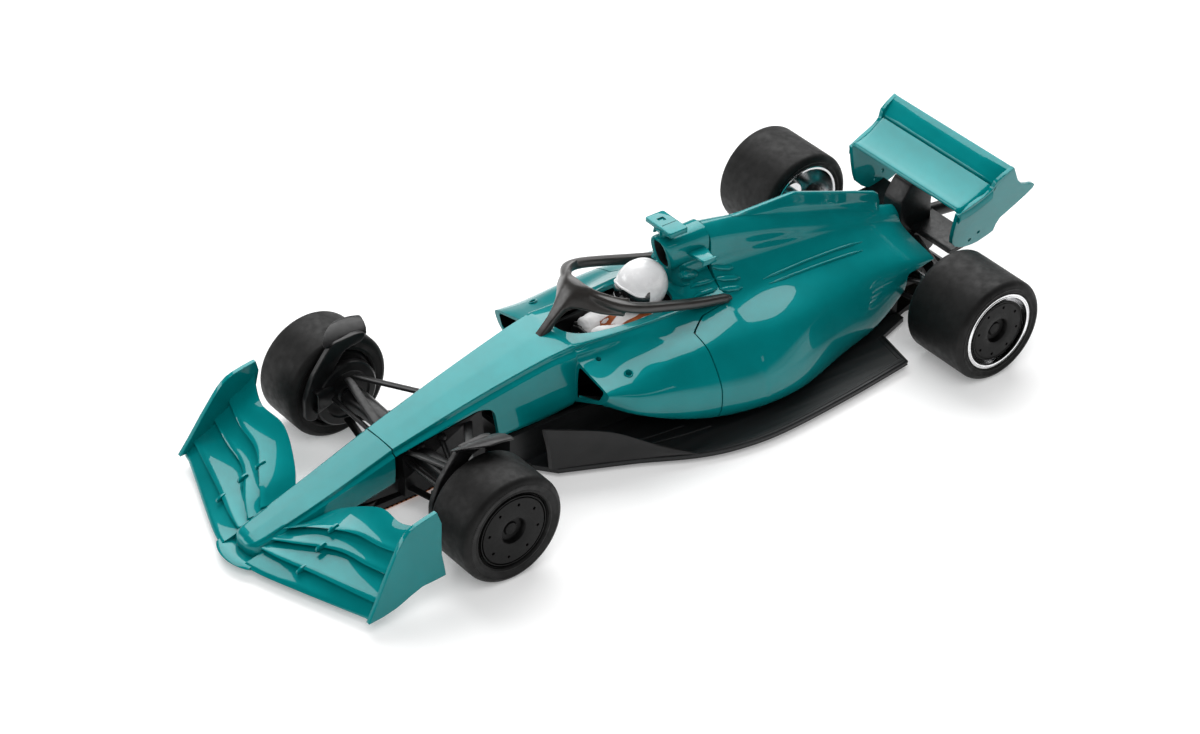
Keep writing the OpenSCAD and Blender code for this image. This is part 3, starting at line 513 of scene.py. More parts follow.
MATERIALS = {
    "body_paint": body_paint(),
    "satin_black": satin_black(),
    "dark_plastic": dark_plastic(),
    "floor_black": floor_black(),
    "dark_lining_and_shade": dark_lining_and_shade(),
    "suit_white": suit_white(),
    "helmet_white": helmet_white(),
    "visor_black": visor_black(),
    "belt_tan": belt_tan(),
    "steel": metal("steel", (0.42, 0.42, 0.43), (0.6, 0.6, 0.61), 0.25, 0.38, (1, 1, 8)),
    "motor_can": metal("motor_can", (0.32, 0.32, 0.33), (0.46, 0.46, 0.47), 0.3, 0.45, (8, 1, 1)),
    "gear_nylon": gear_nylon(),
    "bright_rim": metal("bright_rim", (0.78, 0.78, 0.79), (0.88, 0.88, 0.885), 0.1, 0.2, (1, 6, 1)),
    "wheel_black": wheel_black(),
    "tyre_rubber": tyre_rubber(),
    "copper_braid": copper_braid(),
}


# ---- body sections: half outlines from top centre to lower lip, each [y, z], at stations in x ----

NOSE_ROWS = [
    (84.9, [(0, 4.5), (1.4, 4.4), (1.9, 4.1), (2.2, 3.7), (2.3, 3.2), (2.3, 2.7), (2.2, 2.2), (1.7, 1.8)]),
    (83.5, [(0, 5.1), (2.4, 4.9), (3.1, 4.4), (3.35, 3.8), (3.45, 3.2), (3.45, 2.6), (3.3, 1.9),
            (2.7, 1.4)]),
    (79, [(0, 6.4), (2.9, 6.2), (3.7, 5.5), (3.9, 4.7), (4.0, 3.9), (4.0, 3.0), (3.9, 2.1), (3.3, 1.6)]),
    (70, [(0, 9.1), (3.4, 9), (4.2, 8.2), (4.4, 7.2), (4.5, 6.2), (4.6, 5.2), (4.5, 4.2), (3.9, 3.4)]),
    (55.6, [(0, 14.1), (3.8, 13.9), (4.9, 12.8), (5, 11.6), (5.1, 10.3), (5.1, 9), (5, 7.6), (4.4, 6.7)]),
]
MONO_ROWS = [
    (55.4, [(0, 14.1), (3.8, 14), (4.9, 12.9), (5, 11.6), (5.1, 10.3), (5.1, 9), (5, 7.6), (4.4, 6.7)]),
    (38, [(0, 19), (4.9, 18.7), (6.2, 17.3), (6.4, 15.5), (6.7, 13.5), (6.9, 11.5), (7, 10), (6.6, 9.2)]),
    (24, [(0, 22.1), (5.9, 21.8), (7.2, 20.3), (7.5, 18), (7.7, 15.5), (7.8, 13), (7.8, 10.8), (7.4, 9.9)]),
    (17.8, [(0, 23), (6.4, 22.7), (7.8, 21), (8, 18.5), (8.1, 16), (8.1, 13.5), (8, 11.5), (7.6, 10.6)]),
]
POD_ROWS = [
    (17.4, [(0, 22.9), (6.4, 22.7), (7.6, 21.4), (8.3, 19.9), (16, 18), (17, 16.9), (14.8, 14.4),
            (7.6, 11.6)]),
    (11, [(0, 22.7), (6.5, 22.4), (7.8, 21.2), (9, 19.8), (16, 17.6), (18.6, 15.4), (17.6, 11.2), (8, 8.6)]),
    (3, [(0, 22.4), (6.8, 22.1), (8.4, 21.2), (10.4, 20.1), (16.4, 18.1), (20, 14), (19, 7.8), (9, 5.6)]),
    (-6, [(0, 22.2), (7.2, 22), (9.2, 21), (12, 19.8), (17, 17.9), (21.2, 11.8), (20.2, 5.2), (10, 3.6)]),
    (-16.6, [(0, 21.7), (6.8, 21.5), (8, 20.9), (9.6, 20.2), (17, 17), (21.6, 10.6), (21.2, 4), (11, 3)]),
    (-27, [(0, 21.2), (6.2, 21.0), (7.4, 20.6), (9, 19.8), (18, 15.4), (20.6, 10), (20.4, 3.6), (11, 2.8)]),
]
TAIL_ROWS = [
    (-6, [(0, 35), (3, 33), (4.6, 25.4), (11, 20.6), (17, 17.9), (21.2, 11.8), (20.2, 5.2), (10, 3.6)]),
    (-16.7, [(0, 33.4), (3, 31.6), (4.4, 24.8), (9.2, 20.5), (17, 17), (21.6, 10.6), (21.2, 4), (11, 3)]),
    (-27, [(0, 31.4), (2.9, 29.3), (4.4, 24), (8, 20.4), (17.2, 16.7), (20.5, 10.6), (20.4, 3.6),
           (11, 2.8)]),
    (-40, [(0, 27.8), (2.6, 26), (4.6, 22.3), (8.2, 19.6), (14.4, 16.2), (17.0, 10.4), (16.6, 3.6),
           (10, 2.8)]),
    (-52, [(0, 24), (2.4, 22.8), (4.4, 20.6), (7.6, 18.7), (12.8, 15.8), (14.6, 11.2), (13.8, 4.6),
           (8, 3.4)]),
    (-61, [(0, 21), (1.8, 20), (3.4, 18.4), (6.5, 17.2), (12.4, 15.1), (13.4, 12.6), (11.4, 8.6), (6, 7.4)]),
    (-66.3, [(0, 19.4), (1.5, 18.6), (2.8, 16.4), (6, 15.2), (12, 13.8), (12.2, 12.6), (10, 9.8), (6, 9)]),
]
SECTION_STEPS = 9
# roundness of each table's sections, and the ledge value of a section without one
MONO_SOFT = 0.28
POD_SOFT = 0.8
TAIL_SOFT = 0.85
NO_LEDGE = 0.001


def cubic(p, q, m, n, t):
    a = 2 * t ** 3 - 3 * t * t + 1
    b = t ** 3 - 2 * t * t + t
    return p * a + m * b + q * (1 - a) + n * (t ** 3 - t * t)


def keys_at(rows, x):
    """Section keys at x, by a cubic along the body."""
    i = 0
    while i < len(rows) - 2 and x < rows[i + 1][0]:
        i += 1

    def slope(k, j):
        a = rows[max(0, k - 1)]
        b = rows[min(len(rows) - 1, k + 1)]
        return (Vector(b[1][j]) - Vector(a[1][j])) / (b[0] - a[0])

    h = rows[i + 1][0] - rows[i][0]
    t = (x - rows[i][0]) / h
    return [cubic(Vector(rows[i][1][j]), Vector(rows[i + 1][1][j]), slope(i, j) * h, slope(i + 1, j) * h, t)
            for j in range(len(rows[i][1]))]


def half_line(keys, soft, step=0.0):
    """Dense half outline; step puts a narrow ledge in the chamfer beside the flat top."""
    if step:
        drop = keys[2] - keys[1]
        middle = keys[1] + Vector((drop.x * (0.5 - 0.28 * step), drop.y * (0.5 + 0.14 * step)))
        keys = keys[:2] + [middle] + keys[2:]
    out = []
    n = len(keys)
    for i in range(n - 1):
        a = keys[i - 1] if i else Vector((-keys[1].x, keys[1].y))
        b, c = keys[i], keys[i + 1]
        d = keys[i + 2] if i + 2 < n else c
        m0 = (c - b) * (1 - soft) + (c - a) / 2 * soft
        m1 = (c - b) * (1 - soft) + (d - b) / 2 * soft
        out += [cubic(b, c, m0, m1, j / SECTION_STEPS) for j in range(SECTION_STEPS)]
    return out + [keys[-1]]


def inner_line(line, t):
    """Half outline moved inward by t."""
    out = []
    for i, p in enumerate(line):
        d = Vector((1, 0)) if i == 0 else line[min(i + 1, len(line) - 1)] - line[i - 1]
        q = p + Vector((d.y, -d.x)) * (t / d.length)
        out.append(Vector((0 if i == 0 else max(0.1, q.x), q.y)))
    return out


def full_ring(x, half):
    """Ring at x over a half outline and its mirror image."""
    return [place((x, p.x, p.y)) for p in reversed(half)] + [place((x, -p.x, p.y)) for p in half[1:]]


def shell_ring(x, line, wall):
    """Closed ring of the wall at x: outside from left lip over the top to right lip, then back inside."""
    outer = full_ring(x, line)
    lining = inner_line(line, wall)
    inner = [place((x, -p.x, p.y)) for p in reversed(lining)] + [place((x, p.x, p.y)) for p in lining[1:]]
    return outer + inner


def shell(name, stations, replaces=()):
    """Hollow moulding over stations of (x, rows, soft, step). Its lining is near black: dark plastic,
    darkened further as painted shade so the openings read black.
    """
    rings = []
    for x, rows, soft, step in stations:
        line = half_line(keys_at(rows, x), soft, step)
        rings.append(shell_ring(x, line, WALL))
    n = len(rings[0])
    outer = (n + 1) // 2
    faces = grid_faces(len(rings), n, wrap=True)
    # inside faces take the dark slot, near black as painted shade
    marks = [1 if (k % n) >= outer else 0 for k in range(len(faces))]
    last = (len(rings) - 1) * n
    for base, turn in ((0, 1), (last, -1)):
        for i in range(outer - 1):
            quad = (base + i, base + i + 1, base + n - 2 - i, base + (n - 1 - i) % n)
            faces.append(quad[::turn])
            marks.append(0)
    verts = [p for r in rings for p in r]
    obj = finish_mesh(name, verts, faces, ["body_paint", "dark_lining_and_shade"], face_slots=marks)
    if replaces:
        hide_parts(*replaces)
    return obj


def stations(rows, xs, soft, step=0.0):
    return [(x, rows, soft, step) for x in xs]


def between(a, b, pitch):
    n = max(1, round(abs(b - a) / pitch))
    return [a + (b - a) * i / n for i in range(n + 1)]


def body_cutters():
    """Cockpit, suspension and inlet openings, mirror holes and the line to the engine cover."""
    cutters = []
    edge = [(16.7, 0), (16.3, 1.8), (15.2, 3.3), (13.4, 4.4), (10, 5.3), (5.8, 5.8), (0.7, 6.0),
            (-4.4, 5.8), (-7, 4.6), (-8.3, 2.4), (-8.5, 0)]
    near = spline([(x, y, 0) for x, y in edge], 6)
    hole = [(p.x * KL, p.y * KW) for p in near] + [(p.x * KL, -p.y * KW) for p in near[-2:0:-1]]
    cutters.append(prism("cut_cockpit", hole, 12 * KH, 30 * KH))
    side = rounded([(56.4, 12.7), (38.2, 16.8), (35.2, 15.9), (34.4, 10.2), (33.6, 3), (56.4, 3)], 1.6)
    cutters.append(prism("cut_arms", [(x * KL, z * KH) for x, z in side], -15, 15, axis="y"))
    for s in (1, -1):
        inlet = rounded([(8.6, 12.5), (8.5, 19.2), (15.8, 17.6), (14.5, 15)], 0.7)
        cutters.append(prism("cut_inlet", [(s * y * KW, z * KH) for y, z in inlet], 12 * KL, 20 * KL,
                             axis="x"))
        cutters.append(rod("cut_mirror", place((11, s * 14.2, 14)), place((10.6, s * 14.4, 20)), 0.6))
        cutters.append(rod("cut_mirror", place((13.7, s * 8.3, 17)), place((13.5, s * 9.6, 21.5)), 0.5))
        line = [(-5.9, s * 40), (-5.9, s * 12.4), (-6.6, s * 11.9), (-9.4, s * 10.1), (-10.2, s * 9.75),
                (-18, s * 8.6), (-18, s * 40)]
        cutters.append(prism("cut_line", [(x * KL, y * KW) for x, y in line], -5, 45))
    return cutters


def make_front_body():
    xs = stations(MONO_ROWS, between(55.35, 17.8, 0.9), MONO_SOFT, 1.0)
    pods = []
    for x in [17.4, 17.2, 16.9, 16.5] + between(16, -16.9, 0.85):
        pods.append((x, POD_ROWS, POD_SOFT, max(NO_LEDGE, 1 - smooth_step(6, 17, 17.4 - x + 5.9))))
    body = shell("front_body_moulding", xs + pods, ("front_body",))
    cut(body, *body_cutters())
    for s in (1, -1):
        ring_tube("mirror_hole_rim", place((10.7, s * 14.3, 18.35)), (0.12, s * 0.42, 1), 0.72, 0.16)
    return body


def ring_tube(name, centre, normal, r, thick, slot="body_paint"):
    """Small raised ring."""
    normal = Vector(normal).normalized()
    side = normal.orthogonal().normalized()
    up = normal.cross(side)
    round_steps = 40
    tube_steps = 10
    verts = []
    for c, s in oval(round_steps):
        d = side * c + up * s
        for u, v in oval(tube_steps):
            verts.append(Vector(centre) + d * (r + thick * u) + normal * thick * v)
    return finish_mesh(name, verts, turned_faces(round_steps, tube_steps, True), [slot])


def make_engine_cover():
    front = stations(POD_ROWS, between(-5.2, -16.6, 0.8), POD_SOFT, NO_LEDGE)
    back = stations(TAIL_ROWS, between(-16.75, -66.3, 0.8), TAIL_SOFT, NO_LEDGE)
    cover = shell("engine_cover_moulding", front + back, ("engine_cover",))
    cutters = []
    side = rounded([(-58.4, 13.4), (-58.4, -5), (-80, -5), (-80, 13.4)], 1.0)
    cutters.append(prism("cut_tail", [(x * KL, z * KH) for x, z in side], -60, 60, axis="y"))
    for s in (1, -1):
        line = [(-16.75, -s * 0.5), (-16.75, s * 8.9), (-10.3, s * 10.05), (-9.5, s * 10.4),
                (-6.7, s * 12.2), (-6.15, s * 12.7), (-6.15, s * 40), (-2, s * 40), (-2, -s * 0.5)]
        cutters.append(prism("cut_line", [(x * KL, y * KW) for x, y in line], -5, 45))
    cut(cover, *cutters)
    return cover


# ---- wings ----

WING_Y = [3.6, 8, 15, 22, 28.6]
WING_LINES = [
    [(86.9, 2.4), (85.7, 2.3), (83.1, 2.3), (80.4, 2.3), (77.9, 2.4)],
    [(83.1, 3.6), (82.2, 3.7), (80, 3.9), (78, 4), (76.1, 4.1)],
    [(81, 4.6), (79, 5.6), (74.8, 6.5), (73.4, 6.9), (71.8, 7.4)],
    [(78.4, 5.9), (75.6, 7.7), (71.8, 9), (70.6, 9.7), (68.8, 10.8)],
    [(71, 6.2), (68.2, 9.3), (65.7, 12.4), (66, 13.4), (63.4, 15.6)],
]
WING_STEP = 0.85
PLATE_T = 0.9
PLATE_LEAN = -0.13
plate_half = box_mm("front_wing_endplates")[1].y + 0.33 - PLATE_T


def plate_y(z):
    """Inner face of the left front endplate at height z."""
    return plate_half + PLATE_LEAN * z


def element_section(front, rear, thick, tail, camber, lift):
    """Closed aerofoil outline in X and Z from leading edge to trailing edge."""
    f = Vector(front)
    r = Vector(rear)
    chord = r - f
    up = Vector((-chord.y, chord.x)).normalized()
    if up.y < 0:
        up = -up
    top, low = [], []
    for k in range(13):
        t = k / 12
        sag = -camber * 4 * t * (1 - t) + lift * (1 - t)
        wide = thick + (tail - thick) * t
        nose_k = math.sin(min(1, t / 0.12) * math.pi / 2) if t < 0.12 else 1
        p = f + chord * t + up * sag
        top.append(p - up * wide * 0.5 * (1 - nose_k))
        low.append(p - up * (wide - wide * 0.5 * (1 - nose_k)))
    return top + low[::-1]


def wing_element(name, e, side):
    """One element of the front wing on one side."""
    rings = []
    start = 1 if e else 0
    ys = spline([(y, 0, 0) for y in WING_Y], 7)
    front = spline([(p[0], p[1], 0) for p in WING_LINES[e]], 7)
    rear = spline([(p[0], p[1], 0) for p in WING_LINES[e + 1]], 7)
    for k in range(len(ys)):
        f, r = front[k], rear[k]
        a = (f.x + 0.15 * start, f.y + WING_STEP * start)
        tail = 1.5 if e < 3 else 0
        slope = (r.y - a[1]) / (r.x - a[0])
        b = (r.x - tail, r.y - 0.02 - slope * tail * 0.6)
        section = element_section(a, b, 0.5 if e else 0.8, 0.5, 0.12 + 0.1 * e, 0)
        ring = []
        for p in section:
            y = ys[k].x
            if k == len(ys) - 1:
                y = plate_y(p.y) / KW + 0.2
            elif k == len(ys) - 2:
                y = min(y, plate_y(p.y) / KW - 0.3)
            ring.append(flip([place((p.x, y, p.y))], side)[0])
        rings.append(ring)
    return loft(name, rings, ["body_paint"], sharp=50)


def make_front_wing():
    for side, word in SIDES:
        for e in range(4):
            wing_element("front_wing_element_%d_%s" % (e + 1, word), e, side)
        for p in ((80.9, 12.6, 4.2), (76.6, 12.2, 6.9), (73.4, 11.4, 9.0)):
            separator(p, side)
    middle = []
    for k in range(21):
        y = -5 + k * 0.5
        bow = (abs(y) / 5) ** 2.2
        front = (88.35 - 1.5 * bow, 2.42 - 0.02 * bow)
        rear = (79.0 - 0.5 * bow, 1.25)
        section = element_section(front, rear, 0.8, 0.5, -0.25, 0)
        middle.append([place((p.x, y, p.y)) for p in section])
    centre = loft("front_wing_centre", middle, ["body_paint"], sharp=50)
    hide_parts("front_wing")


def separator(p, side):
    """Small tab that bridges one groove of the wing."""
    x, y, z = p
    rings = []
    for dx, low, high in ((0.9, -0.5, -0.1), (0.7, -0.5, 0.15), (0.2, -0.4, 0.45), (-0.7, -0.2, 0.72),
                          (-1.1, 0.1, 0.66), (-1.25, 0.2, 0.45)):
        ring = [(x + dx, y + w, z + h) for w,
                h in ((-0.28, low), (0.28, low), (0.28, high - 0.1), (0.18, high), (-0.18, high),
                      (-0.28, high - 0.1))]
        rings.append(flip([place(q) for q in ring], side))
    return loft("front_wing_separator", rings, ["body_paint"])


def resample(points, n):
    """n + 1 points at equal steps along a polyline."""
    pts = [Vector(p) for p in points]
    run = [0.0]
    for a, b in zip(pts, pts[1:]):
        run.append(run[-1] + (b - a).length)
    out = []
    i = 0
    for k in range(n + 1):
        d = run[-1] * k / n
        while i < len(pts) - 2 and run[i + 1] < d:
            i += 1
        t = (d - run[i]) / max(1e-9, run[i + 1] - run[i])
        out.append(pts[i] + (pts[i + 1] - pts[i]) * t)
    return out


def patch(low, high, front, rear, nu, nv):
    """Grid of 2-D points inside four edges. low and high run rearward, front and rear run upward."""
    low, high = resample(low, nu), resample(high, nu)
    front, rear = resample(front, nv), resample(rear, nv)
    rows = []
    for j in range(nv + 1):
        v = j / nv
        row = []
        for i in range(nu + 1):
            u = i / nu
            p = low[i] * (1 - v) + high[i] * v + front[j] * (1 - u) + rear[j] * u
            p -= (low[0] * (1 - u) * (1 - v) + low[-1] * u * (1 - v)
                  + high[0] * (1 - u) * v + high[-1] * u * v)
            row.append(p)
        rows.append(row)
    return rows


def plate(name, rows, y_of, thick, side):
    """Bowed plate: rows of [x, z] points stand at y_of(x, z), thick outward."""
    nv, nu = len(rows), len(rows[0])
    verts = []
    for extra in (0, thick):
        for row in rows:
            for p in row:
                verts.append((p.x * KL, side * (y_of(p.x, p.y) + extra), p.y * KH))
    return bevel(finish_mesh(name, verts, sheet_faces(nv, nu), ["body_paint"]), 0.22, 3)


def make_front_endplates():
    low = [(78.8, 2.5), (75.8, 2.75), (72.7, 3.4), (70, 4.5), (67.4, 5.4), (64.8, 5.5), (62.5, 5.7)]
    high = [(70.4, 16), (69.3, 16.9), (67.8, 17.5), (65.6, 18), (63.4, 18.4)]
    front = [(78.8, 2.5), (77, 5.4), (74.4, 10), (72.2, 13.6), (71.2, 15.1), (70.4, 16)]
    rear = [(62.5, 5.7), (62.7, 7.5), (63.1, 10), (62.9, 13), (62.6, 16), (63.4, 18.4)]
    rows = patch(low, high, front, rear, 26, 26)

    def y_of(x, z):
        t = (z - 2.5) / 16
        u = (78.8 - x) / 16.3
        bow = 0.25 * math.sin(math.pi * min(1, max(0, t))) * u
        flare = 0.9 * max(0, t - 0.55) ** 2
        return plate_y(z * KH) + bow + flare

    for side, word in SIDES:
        obj = plate("front_endplate_" + word, rows, y_of, PLATE_T, side)
    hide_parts("front_wing_endplates")


REAR_LEAN = 0.2


def rear_half(z):
    """Outer face of the left rear endplate at table height z."""
    return WING_HALF - REAR_LEAN * (31.4 - z) * KH


def make_rear_wing():
    roll = 1.7
    thick = 0.85
    top = spline([(-68.6, 24.75, 0), (-69.0, 25.2, 0), (-70.4, 25.42, 0), (-72.2, 25.9, 0), (-74.3, 26.8, 0),
                  (-76.5, 28.05, 0)], 5)
    stations_y = [0, 2, 4, 6, 8, 10, 12, 13.5]
    rings = []

    def ring(y_fn):
        upper = [y_fn(p.x, p.y, 0) for p in top]
        under = [y_fn(p.x, p.y, thick * min(1, 0.35 + 0.65 * k / 4)) for k, p in enumerate(top)]
        return upper + under[::-1]

    def flat(y):
        return lambda x, z, d: (x * KL, y, z * KH - d)

    def rolled(phi, side, run):
        def f(x, z, d):
            half = rear_half(z) - roll
            y = half + (roll - d) * math.sin(phi)
            return (x * KL, side * y, z * KH - roll + (roll - d) * math.cos(phi) - run)
        return f

    for side in (-1, 1):
        part = [ring(flat(side * y)) for y in stations_y]
        for k in range(0, 9):
            part.append(ring(rolled(math.pi / 2 * k / 8, side, 0)))
        part.append(ring(rolled(math.pi / 2, side, 0.8)))
        rings = part[::-1] + rings if side < 0 else rings[:-1] + part
    main = loft("rear_wing_main_plane", rings, ["body_paint"], sharp=50)

    flap_top = spline([(-76.9, 27.9, 0), (-77.1, 28.6, 0), (-78.2, 29.55, 0), (-79.4, 30.5, 0),
                       (-80.7, 31.3, 0)], 5)
    flap = []
    for y in [-1, -0.985, -0.5, 0, 0.5, 0.985, 1]:
        end = abs(y) == 1
        ring_pts = []
        for p in flap_top:
            ring_pts.append((p.x * KL, y * (rear_half(p.y) - 0.1), p.y * KH - (0.22 if end else 0)))
        for k, p in enumerate(reversed(flap_top)):
            d = thick * (0.75 if k < 2 else 1)
            ring_pts.append((p.x * KL + 0.15, y * (rear_half(p.y) - 0.1),
                             p.y * KH - d + (0.1 if end else 0)))
        flap.append(ring_pts)
    piece = loft("rear_wing_flap", flap, ["body_paint"], sharp=50)
    bevel(piece, 0.14, 2, 50)
    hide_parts("rear_wing")
    make_rear_endplates()


def make_rear_endplates():
    low = [(-69.0, 16.8), (-70.2, 15.6), (-71.6, 14.8), (-73, 14.4), (-75, 14.2), (-76.5, 14.3),
           (-78.6, 14.9), (-80.3, 15.6)]
    high = [(-68.3, 24.2), (-70.3, 25.0), (-72.4, 25.8), (-74.6, 26.6), (-76.2, 27.6), (-76.9, 29.2),
            (-78.6, 30.3), (-80.8, 31.3)]
    front = [(-69.0, 16.8), (-68.6, 18.4), (-68.4, 20.6), (-68.3, 24.2)]
    rear = [(-80.3, 15.6), (-80.5, 17.2), (-81.2, 18.6), (-83, 19.7), (-85, 20.9), (-87.2, 22.4),
            (-88.75, 23.75), (-88.2, 24.6), (-86.4, 25.1), (-84.4, 26.0), (-83.0, 27.4), (-81.9, 29.4),
            (-80.8, 31.3)]
    rows = patch(low, high, front, rear, 30, 30)
    for side, word in SIDES:
        obj = plate("rear_endplate_" + word, rows, lambda x, z: rear_half(z) - PLATE_T, PLATE_T, side)
        holes = []
        for x, z in ((-75.9, 17.0), (-73.9, 15.8)):
            y = rear_half(z)
            holes.append(rod("cut_hole", (x * KL, side * (y - 3), z * KH),
                             (x * KL, side * (y + 3), z * KH), 0.42, 24))
        cut(obj, *holes)
    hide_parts("rear_wing_endplates")


# ---- nose ----

def make_nose():
    """Solid nose tip with a shallow channel below and a blunt rounded front."""
    rings = []
    xs = between(55.6, 83.5, 0.9) + [83.95, 84.35, 84.65, 84.83, 84.9]
    for x in xs:
        half = half_line(keys_at(NOSE_ROWS, x), MONO_SOFT, 1.0 - 0.999 * smooth_step(78, 83, x))
        lip = half[-1]
        depth = 1.1 * (1 - smooth_step(80, 83, x))
        under = [Vector((lip.x - 0.7, lip.y + 0.05)), Vector((lip.x - 1.0, lip.y + depth)),
                 Vector((0, lip.y + depth))]
        half = half + under
        squeeze = math.sqrt(max(0.0, 1 - max(0, (x - 83.5) / 1.42) ** 2.6))
        middle = sum((p.y for p in half), 0) / len(half)
        pts = [(p.x * (0.35 + 0.65 * squeeze), middle + (p.y - middle) * (0.3 + 0.7 * squeeze))
               for p in half]
        ring = [place((x, y, z)) for y, z in reversed(pts)] + [place((x, -y, z)) for y, z in pts[1:-1]]
        rings.append(ring)
    nose = loft("nose_moulding", rings, ["body_paint"])
    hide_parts("nose_cone")
    return nose


def skin_z(rows, x, y, soft, step):
    """Height of the skin over the point x, y."""
    line = half_line(keys_at(rows, x), soft, step)
    for a, b in zip(line, line[1:]):
        if (a.x - y) * (b.x - y) <= 0 and b.x != a.x:
            return a.y + (b.y - a.y) * (y - a.x) / (b.x - a.x)
    return line[-1].y


def tail_z(x, y):
    if x > -16.7:
        return skin_z(POD_ROWS, x, y, POD_SOFT, NO_LEDGE)
    return skin_z(TAIL_ROWS, x, y, TAIL_SOFT, NO_LEDGE)


def make_fin():
    """Low fin on the spine. Its foot spreads in a hollow curve."""
    def top(x):
        if x > -39.5:
            return 31.9 - 0.1 * (-25.3 - x) / 14.2 if x < -25.3 else 31.9
        return 31.8 + (24.1 - 31.8) * (-39.5 - x) / 22.1

    rings = []
    for x in between(-24.2, -61.6, 0.75) + [-62.0, -62.25, -62.35]:
        end = smooth_step(-61.2, -62.4, x)
        start = smooth_step(-24.2, -29, x)
        high = top(max(x, -61.6)) - 1.6 * end ** 2
        base = [tail_z(x, y) - 0.05 for y in (0, 0.6, 1.2, 2.0, 3.0)]
        rise = max(0.03, high - base[0]) * (1 - 0.3 * end)
        wide = 0.48 * (1 - 0.6 * end)
        spread = min(1.0, rise / 3.0) * start
        half = [
            (0, base[0] + rise), (wide * 0.6, base[0] + rise - 0.03),
            (wide * 0.92, base[0] + rise - min(0.14, rise * 0.2)),
            (wide, base[0] + rise - min(0.4, rise * 0.35)),
            (wide + 0.05, base[1] + (rise - 0.2) * 0.42 + 0.1),
            (wide + 0.22 * spread, base[1] + rise * 0.22 * spread),
            (wide + 0.6 * spread, base[2] + rise * 0.09 * spread),
            (wide + 1.3 * spread + 0.05, base[3] + 0.02), (wide + 2.2 * spread + 0.1, base[4] - 0.25),
        ]
        line = [Vector((y, z)) for y, z in half]
        fine = spline([(p.x, p.y, 0) for p in line], 4)
        rings.append(full_ring(x, fine))
    return loft("engine_cover_fin", rings, ["body_paint"], sharp=60)


def sweep(name, path, wide, high, slots, body="chassis", sides=20, power=1.0, tips=True):
    """Bar of oval section along a path. wide and high are half sizes, one a point or one for all."""
    pts = [Vector(p) for p in path]
    n = len(pts)
    wide = wide if isinstance(wide, (list, tuple)) else [wide] * n
    high = high if isinstance(high, (list, tuple)) else [high] * n
    rings = []
    for i, p in enumerate(pts):
        along = (pts[min(i + 1, n - 1)] - pts[max(i - 1, 0)]).normalized()
        across = along.cross(Vector((0, 0, 1))).normalized()
        lift = across.cross(along).normalized()

        def ring(centre, k):
            return [centre + across * wide[i] * k * c + lift * high[i] * k * s for c,
                    s in oval(sides, power)]

        if tips and i in (0, n - 1):
            out = along * (-1 if i == 0 else 1)
            caps = [ring(p + out * high[i] * math.sin(t), math.cos(t)) for t in (0.5, 0.95, 1.35)]
            rings += caps[::-1] + [ring(p, 1)] if i == 0 else [ring(p, 1)] + caps
        else:
            rings.append(ring(p, 1))
    return loft(name, rings, slots, body, sharp=50)


def make_ribs():
    """Two thin ribs and five low gills on each shoulder."""
    for side, word in SIDES:
        for k, (x0, x1, y0, y1) in enumerate(((-26.7, -52.5, 7.35, 6.5), (-27.4, -51.3, 8.5, 8.1))):
            path = []
            size = []
            for i in range(30):
                t = i / 29
                x = x0 + (x1 - x0) * t
                y = y0 + (y1 - y0) * t
                path.append(place((x, side * y, tail_z(x, y) + 0.02)))
                size.append(0.26 * min(1, t * 6 + 0.25, (1 - t) * 6 + 0.25))
            sweep("shoulder_rib_%d_%s" % (k + 1, word), path, size, [s * 1.15 for s in size], ["body_paint"])
        for x0, y0, x1, y1, r in ((-16.9, 4.0, -21.2, 4.7, 0.7), (-11.4, 4.7, -16.4, 5.1, 0.65),
                                  (-16.9, 5.4, -21.8, 6.1, 0.8), (-11.0, 6.3, -15.9, 6.6, 0.65),
                                  (-16.6, 7.0, -21.2, 7.5, 0.8)):
            path = []
            size = []
            for i in range(14):
                t = i / 13
                x = x0 + (x1 - x0) * t
                y = y0 + (y1 - y0) * t
                path.append(place((x, side * y, max(tail_z(x, y), skirt_z(x, y)) - 0.02)))
                size.append(r * min(1, 0.45 + t * 2.4, 0.5 + (1 - t) * 2.4))
            sweep("shoulder_gill_%s" % word, path, size, [s * 0.75 for s in size], ["body_paint"])


# ---- intake and camera ----

SKIRT = [(0, 25.2), (3.0, 25.0), (4.2, 24.2), (5.4, 23.2), (6.8, 22.4), (8.2, 21.95), (8.3, 21.4)]


def skirt_half(x):
    """Half outline of the ramp at the foot of the intake."""
    k = smooth_step(-8.6, -12.5, x)
    low = skin_z(POD_ROWS, max(x, -16.5), 4.0, POD_SOFT, NO_LEDGE) - 0.3
    return [Vector((y, low + (z - low) * k)) for y, z in SKIRT]


def skirt_z(x, y):
    if x < -16.6:
        return 0
    line = skirt_half(x)
    for a, b in zip(line, line[1:]):
        if a.x <= y <= b.x:
            return a.y + (b.y - a.y) * (y - a.x) / (b.x - a.x)
    return 0


DUCT_Z = 29.75


